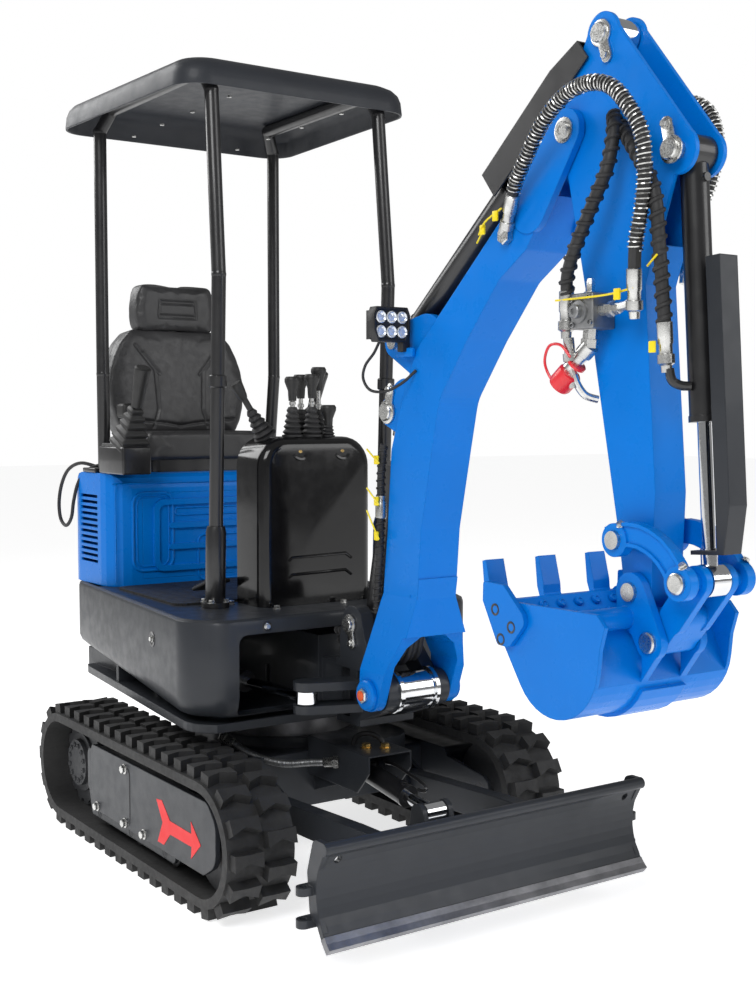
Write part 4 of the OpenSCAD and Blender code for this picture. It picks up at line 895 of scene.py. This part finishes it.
cable = finished(tube(lead, LAMP_LEAD / 2, 3), "lamp_cable", hose_rubber, "boom")


# Tracks and undercarriage

bolt = hex_bolt(0.022)
finished(copies(bolt, [(at(x, side * COVER_Y, z), (0, side, 0)) for side in (-1, 1) for x,
                       z in ((-8, 262), (-196, 116), (-8, 116), (112, 116))]),
         "track_cover_bolts", zinc, "undercarriage")
bolt = turned([(0.0075, 0), (0.0075, 0.004), (0.006, 0.0055), (0.0035, 0.0055), (0.003, 0.002)], 6)
finished(copies(bolt, [(at(-447.5 + 52 * math.cos(a), side * 452, 180 + 52 * math.sin(a)),
                        (0, side, 0)) for side in (-1, 1)
                       for a in [math.radians(15 + 30 * k) for k in range(12)]]), "hub_bolts", cast_iron,
         "undercarriage")
seams = []
for side in (-1, 1):
    seams.append(tube(path_on(at, [(6, side * COVER_Y, 268), (18, side * COVER_Y, 262), (23, side * COVER_Y, 245),
                                   (23, side * COVER_Y, 190), (23, side * COVER_Y, 138),
                                   (18, side * COVER_Y, 121), (6, side * COVER_Y, 114)], 6), 0.0016, 1))
finished(merged(seams), "track_cover_seams", black_paint, "undercarriage")
arrow = [(0.437, 0), (0.385, 0.046), (0.388, 0.016), (0.268, 0.018), (0.222, 0.060), (0.190, 0.056), (0.226, 0.004),
         (0.196, -0.052), (0.232, -0.052),
         (0.270, -0.016), (0.388, -0.016), (0.385, -0.046)]
mark = plate(arrow, 0.0008)
take(mark)
mark.rotation_euler = (math.radians(90), 0, 0)
mark.location = at(0, -493.1, 172)
settle()
finished(mark, "direction_arrow", red_print, "undercarriage")
finished(copies(hex_bolt(0.024), [(at(x, y, 344), (0, 0, 1)) for x, y in ((440, -18), (468, 22))]), "cover_bolts",
         brass, "undercarriage")
path = path_on(at, [(140, -250, 330), (200, -210, 300), (270, -165, 288), (330, -110, 296), (372, -72, 300)], 8)
hose = tube(path, 0.0095, 3)
braid = tube(helix(path, 0.0095, 0.005, 8), 0.0012, 0)
finished(merged([hose, braid]), "braided_hose", valve_grey, "undercarriage", 60)
end = turned([(0.0115, 0), (0.013, 0.002), (0.013, 0.026), (0.0165, 0.027), (0.0165, 0.042), (0.012, 0.044)], 6)
finished(copies(end, [(at(350, -92, 298), at(372, -70, 300) - at(350, -92, 298)),
                      (at(146, -246, 328), at(140, -250, 331) - at(200, -210, 300))]),
         "braided_hose_ends", zinc, "undercarriage")
arch = path_on(at, [(388, -24, 342), (393, -21, 360), (410, -12, 374), (432, 4, 376), (452, 20, 364), (458, 26, 342)],
               8)
finished(tube(arch, 0.0068, 3), "cylinder_hose", hose_rubber, "undercarriage")


# Blade cylinder's steel pipe

pipe = path_on(at, [(470, 24, 306), (500, 30, 306), (560, 31, 296), (618, 30, 286), (640, 28, 276), (634, 24, 268),
                    (616, 20, 270)], 6)
finished(tube(pipe, 0.0045, 3), "blade_pipe", black_paint, "blade_barrel")


# House shell and canopy roof, drawn from their outlines

def round_outline(corners, radii, steps=7):
    """Points round an outline of corners in millimetres, each rounded by its radius."""
    points = []
    count = len(corners)
    for i, radius in enumerate(radii):
        here = Vector(corners[i])
        to_last = (Vector(corners[i - 1]) - here).normalized()
        to_next = (Vector(corners[(i + 1) % count]) - here).normalized()
        half = to_last.angle(to_next) / 2
        centre = here + (to_last + to_next).normalized() * radius / math.sin(half)
        start = here + to_last * radius / math.tan(half) - centre
        end = here + to_next * radius / math.tan(half) - centre
        for k in range(steps + 1):
            points.append(centre + start.slerp(end, k / steps) * radius)
    return points


def drawn(outline, steps):
    """A closed form drawn through (height, inset) steps from an outline, all in millimetres."""
    piece = face_of(len(outline))
    middle = at((min(p.x for p in outline) + max(p.x for p in outline)) / 2, 0, 0)
    half_x = (max(p.x for p in outline) - min(p.x for p in outline)) / 2
    half_y = max(p.y for p in outline)
    sizes = [(z, 1 - inset / half_x, 1 - inset / half_y) for z, inset in steps]
    for vertex, point in zip(piece.data.vertices, outline):
        spot = at(point.x, point.y, steps[0][0])
        vertex.co = (middle.x + (spot.x - middle.x) * sizes[0][1], spot.y * sizes[0][2], spot.z)
    mode("EDIT")
    bpy.ops.mesh.select_mode(type="FACE")
    bpy.ops.mesh.select_all(action="SELECT")
    for (z0, x0, y0), (z1, x1, y1) in zip(sizes, sizes[1:]):
        bpy.ops.mesh.extrude_region_move(TRANSFORM_OT_translate={"value": (0, 0, (z1 - z0) / 1000)})
        bpy.ops.transform.resize(value=(x1 / x0, y1 / y0, 1), center_override=(middle.x, 0, z1 / 1000))
    outwards()
    return piece


house = round_outline([(335, -380), (245, -450), (-695, -345), (-785, -255), (-785, 255), (-695, 345), (245, 450),
                       (335, 380)],
                      [60, 90, 90, 110, 110, 90, 90, 60])
shell = drawn(house, [(430, 78), (434, 46), (446, 22), (466, 7), (494, 0), (560, 0), (676, 0), (685, 3), (690, 12)])
pick(shell, "FACE", lambda face: len(face.vertices) > 4)
bpy.ops.mesh.delete(type="FACE")
mode("OBJECT")
for vertex in shell.data.vertices:
    back = max(0.0, min(1.0, (at(-300, 0, 0).x - vertex.co.x) / 0.40))
    drop = max(0.0, (0.560 - vertex.co.z) / 0.130)
    vertex.co.z += 0.058 * drop * back * back * (3 - 2 * back)
thick = shell.modifiers.new("wall", "SOLIDIFY")
thick.thickness = 0.012
thick.offset = -1
take(shell)
bpy.ops.object.modifier_apply(modifier="wall")
cutter = block(at(255, -330, 440), at(360, 170, 650), 0.022)
mouth = shell.modifiers.new("mouth", "BOOLEAN")
mouth.operation = "DIFFERENCE"
mouth.object = cutter
take(shell)
bpy.ops.object.modifier_apply(modifier="mouth")
bpy.data.objects.remove(cutter)
finished(shell, "house_shell", grey_paint, "house", 40)
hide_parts("skirt", "counterweight")

roof = round_outline([(118, -357), (118, 357), (-690, 395), (-690, -395)], [80, 80, 80, 80], 9)
roof = drawn(roof, [(2141, 64), (2128, 26), (2110, 10), (2067, 7), (2062.5, 5), (2062.5, 1), (2067, 0), (2098, 3),
                    (2116, 9), (2130, 21),
                    (2140, 40), (2146, 66), (2149, 110), (2150, 170)])
finished(roof, "roof_shell", roof_paint, "house", 40)
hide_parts("canopy_roof")


# House: hood lines, bolts, post sleeves and pads

def frame_line(x, y0, y1, z0, z1, corner, radius):
    """A raised rounded frame on a face that looks forward."""
    points = []
    for cy, cz, start in ((y1 - corner, z1 - corner, 0), (y0 + corner, z1 - corner, 90),
                          (y0 + corner, z0 + corner, 180), (y1 - corner, z0 + corner, 270)):
        for a in range(start, start + 91, 15):
            points.append(at(x, cy + corner * math.cos(math.radians(a)), cz + corner * math.sin(math.radians(a))))
    return tube(points, radius, 2, True)


hood_lines = [frame_line(-445, -267, -136, 735, 970, 34, 0.0050), frame_line(-445, -254, -149, 748, 957, 26, 0.0026)]
for low, high in ((900, 922), (857, 879)):
    hood_lines.append(frame_line(-445, -128, 240, low, high, 10, 0.0036))
hood_lines.append(frame_line(-445, -50, 240, 697, 836, 22, 0.0040))
hood_lines.append(tube(path_on(at, [(-445, -322, 704), (-445, -322, 850), (-445, -322, 985), (-445, -318, 996),
                                    (-445, -306, 1000),
                                    (-445, 0, 1000), (-445, 310, 1000)], 8), 0.0022, 1))
finished(merged(hood_lines), "hood_front_lines", blue_paint, "house")

deck_bolts = [(at(90 + 30 * math.cos(a), side * 270 + 30 * math.sin(a), 704), (0, 0, 1)) for side in (-1, 1)
              for a in [math.radians(45 + 90 * k) for k in range(4)]]
deck_bolts += [(at(x, y, 690), (0, 0, 1)) for x, y in ((212, -150), (212, 60), (205, 170), (60, -205))]
deck_bolts += [(at(-460, side * y, 1030), (0, 0, 1)) for side in (-1, 1) for y in (250, 330)]
finished(copies(hex_bolt(0.018), deck_bolts), "deck_bolts", zinc, "house")
sleeves = []
for side in (-1, 1):
    up = at(124, side * 270, 1572) - at(90, side * 270, 702)
    sleeves.append(aimed(turned([(0.0262, 0), (0.0275, 0.004), (0.0275, 0.190), (0.0235, 0.205)], 20),
                         at(90, side * 270, 704), up))
    sleeves.append(aimed(turned([(0.0215, 0), (0.0245, 0.003), (0.0245, 0.030), (0.0215, 0.033)], 20),
                         at(90, side * 270, 702) + up * 0.66, up))
finished(merged(sleeves), "post_sleeves", black_paint, "house")
rear_pads = []
for side in (-1, 1):
    rear_pads.append(block(at(-640, side * 300 - 45, 1031), at(-545, side * 300 + 45, 1044), 0.003))
finished(merged(rear_pads), "rear_post_pads", black_paint, "house")

recess = [aimed(turned([(0.021, -0.001), (0.021, 0.0012), (0.017, 0.0016), (0.014, 0.0002)], 24), at(28, -425.8, 610),
                (-0.111, -0.994, 0)),
          aimed(turned([(0.014, -0.001), (0.014, 0.0012), (0.0115, 0.0016), (0.0095, 0.0002)], 24),
                at(335, -250, 668), (1, 0, 0))]
finished(merged(recess), "skirt_recesses", black_paint, "house")
finished(copies(hex_bolt(0.014), [(at(28, -426.2, 610), (-0.111, -0.994, 0)), (at(335.2, -250, 668), (1, 0, 0))]),
         "skirt_bolts", zinc, "house")

clips = copies(turned([(0.007, 0), (0.007, 0.004), (0.005, 0.005)], 6),
               [(at(x, side * 180, 2064), (0, 0, -1)) for x in (-600, -400, -200, 20) for side in (-1, 1)])
finished(clips, "roof_bolts", zinc, "house")


# Cable loop at the rear of the hood

loop = path_on(at, [(-640, -300, 1046), (-690, -330, 1056), (-745, -348, 1036), (-790, -354, 990), (-812, -356, 930),
                    (-798, -357, 878),
                    (-752, -357, 858), (-712, -355, 886), (-698, -352, 940), (-686, -340, 998), (-660, -318, 1036),
                    (-626, -290, 1050), (-600, -262, 1040)], 8)
cable = finished(tube(loop, REAR_CABLE / 2, 3), "rear_cable_loop", hose_rubber, "house")


# Pin ends of the bucket linkage

cap = [(0.0205, 0), (0.0205, 0.006), (0.0165, 0.0085), (0.0160, 0.0085)]
finished(copies(turned(cap, 28), both_sides(1510, 88.8, 869, on_arm)), "rocker_pin_ends", zinc, "rocker")
finished(copies(turned(cap, 28), both_sides(1406, 62.8, 751, on_arm)), "link_pin_ends", zinc, "bucket")
finished(copies(hex_bolt(0.015), [(on_arm(1522, side * 84, 900), (0, side * 0.6, 0.8)) for side in (-1, 1)]
                + [(on_arm(1366, side * 84, 978), (0, side * 0.6, 0.8)) for side in (-1, 1)]), "rocker_keeper_bolts",
         zinc, "rocker")


# Bucket: bolts of its lip and side cutters

bucket_bolts = [(on_arm(1092.6, y, 808.7), (0.817, 0, 0.574)) for y in range(-150, 151, 50)]
bucket_bolts += [(on_arm(1108, y, 783), (0.817, 0, 0.574)) for y in range(-125, 126, 50)]
button = turned([(0.0105, 0), (0.0105, 0.004), (0.0085, 0.0075), (0.0050, 0.0085), (0.0042, 0.006)], 16)
finished(copies(button, bucket_bolts), "lip_bolts", blue_paint, "bucket")
cutter = [(on_arm(x, side * 197, z), (0, side, 0)) for side in (-1, 1) for x,
          z in ((1112, 812), (1160, 778), (1126, 752))]
finished(copies(turned([(0.0125, -0.001), (0.0125, 0.0008), (0.0095, 0.001), (0.0065, -0.0008)], 18), cutter),
         "cutter_bolts", black_paint, "bucket")
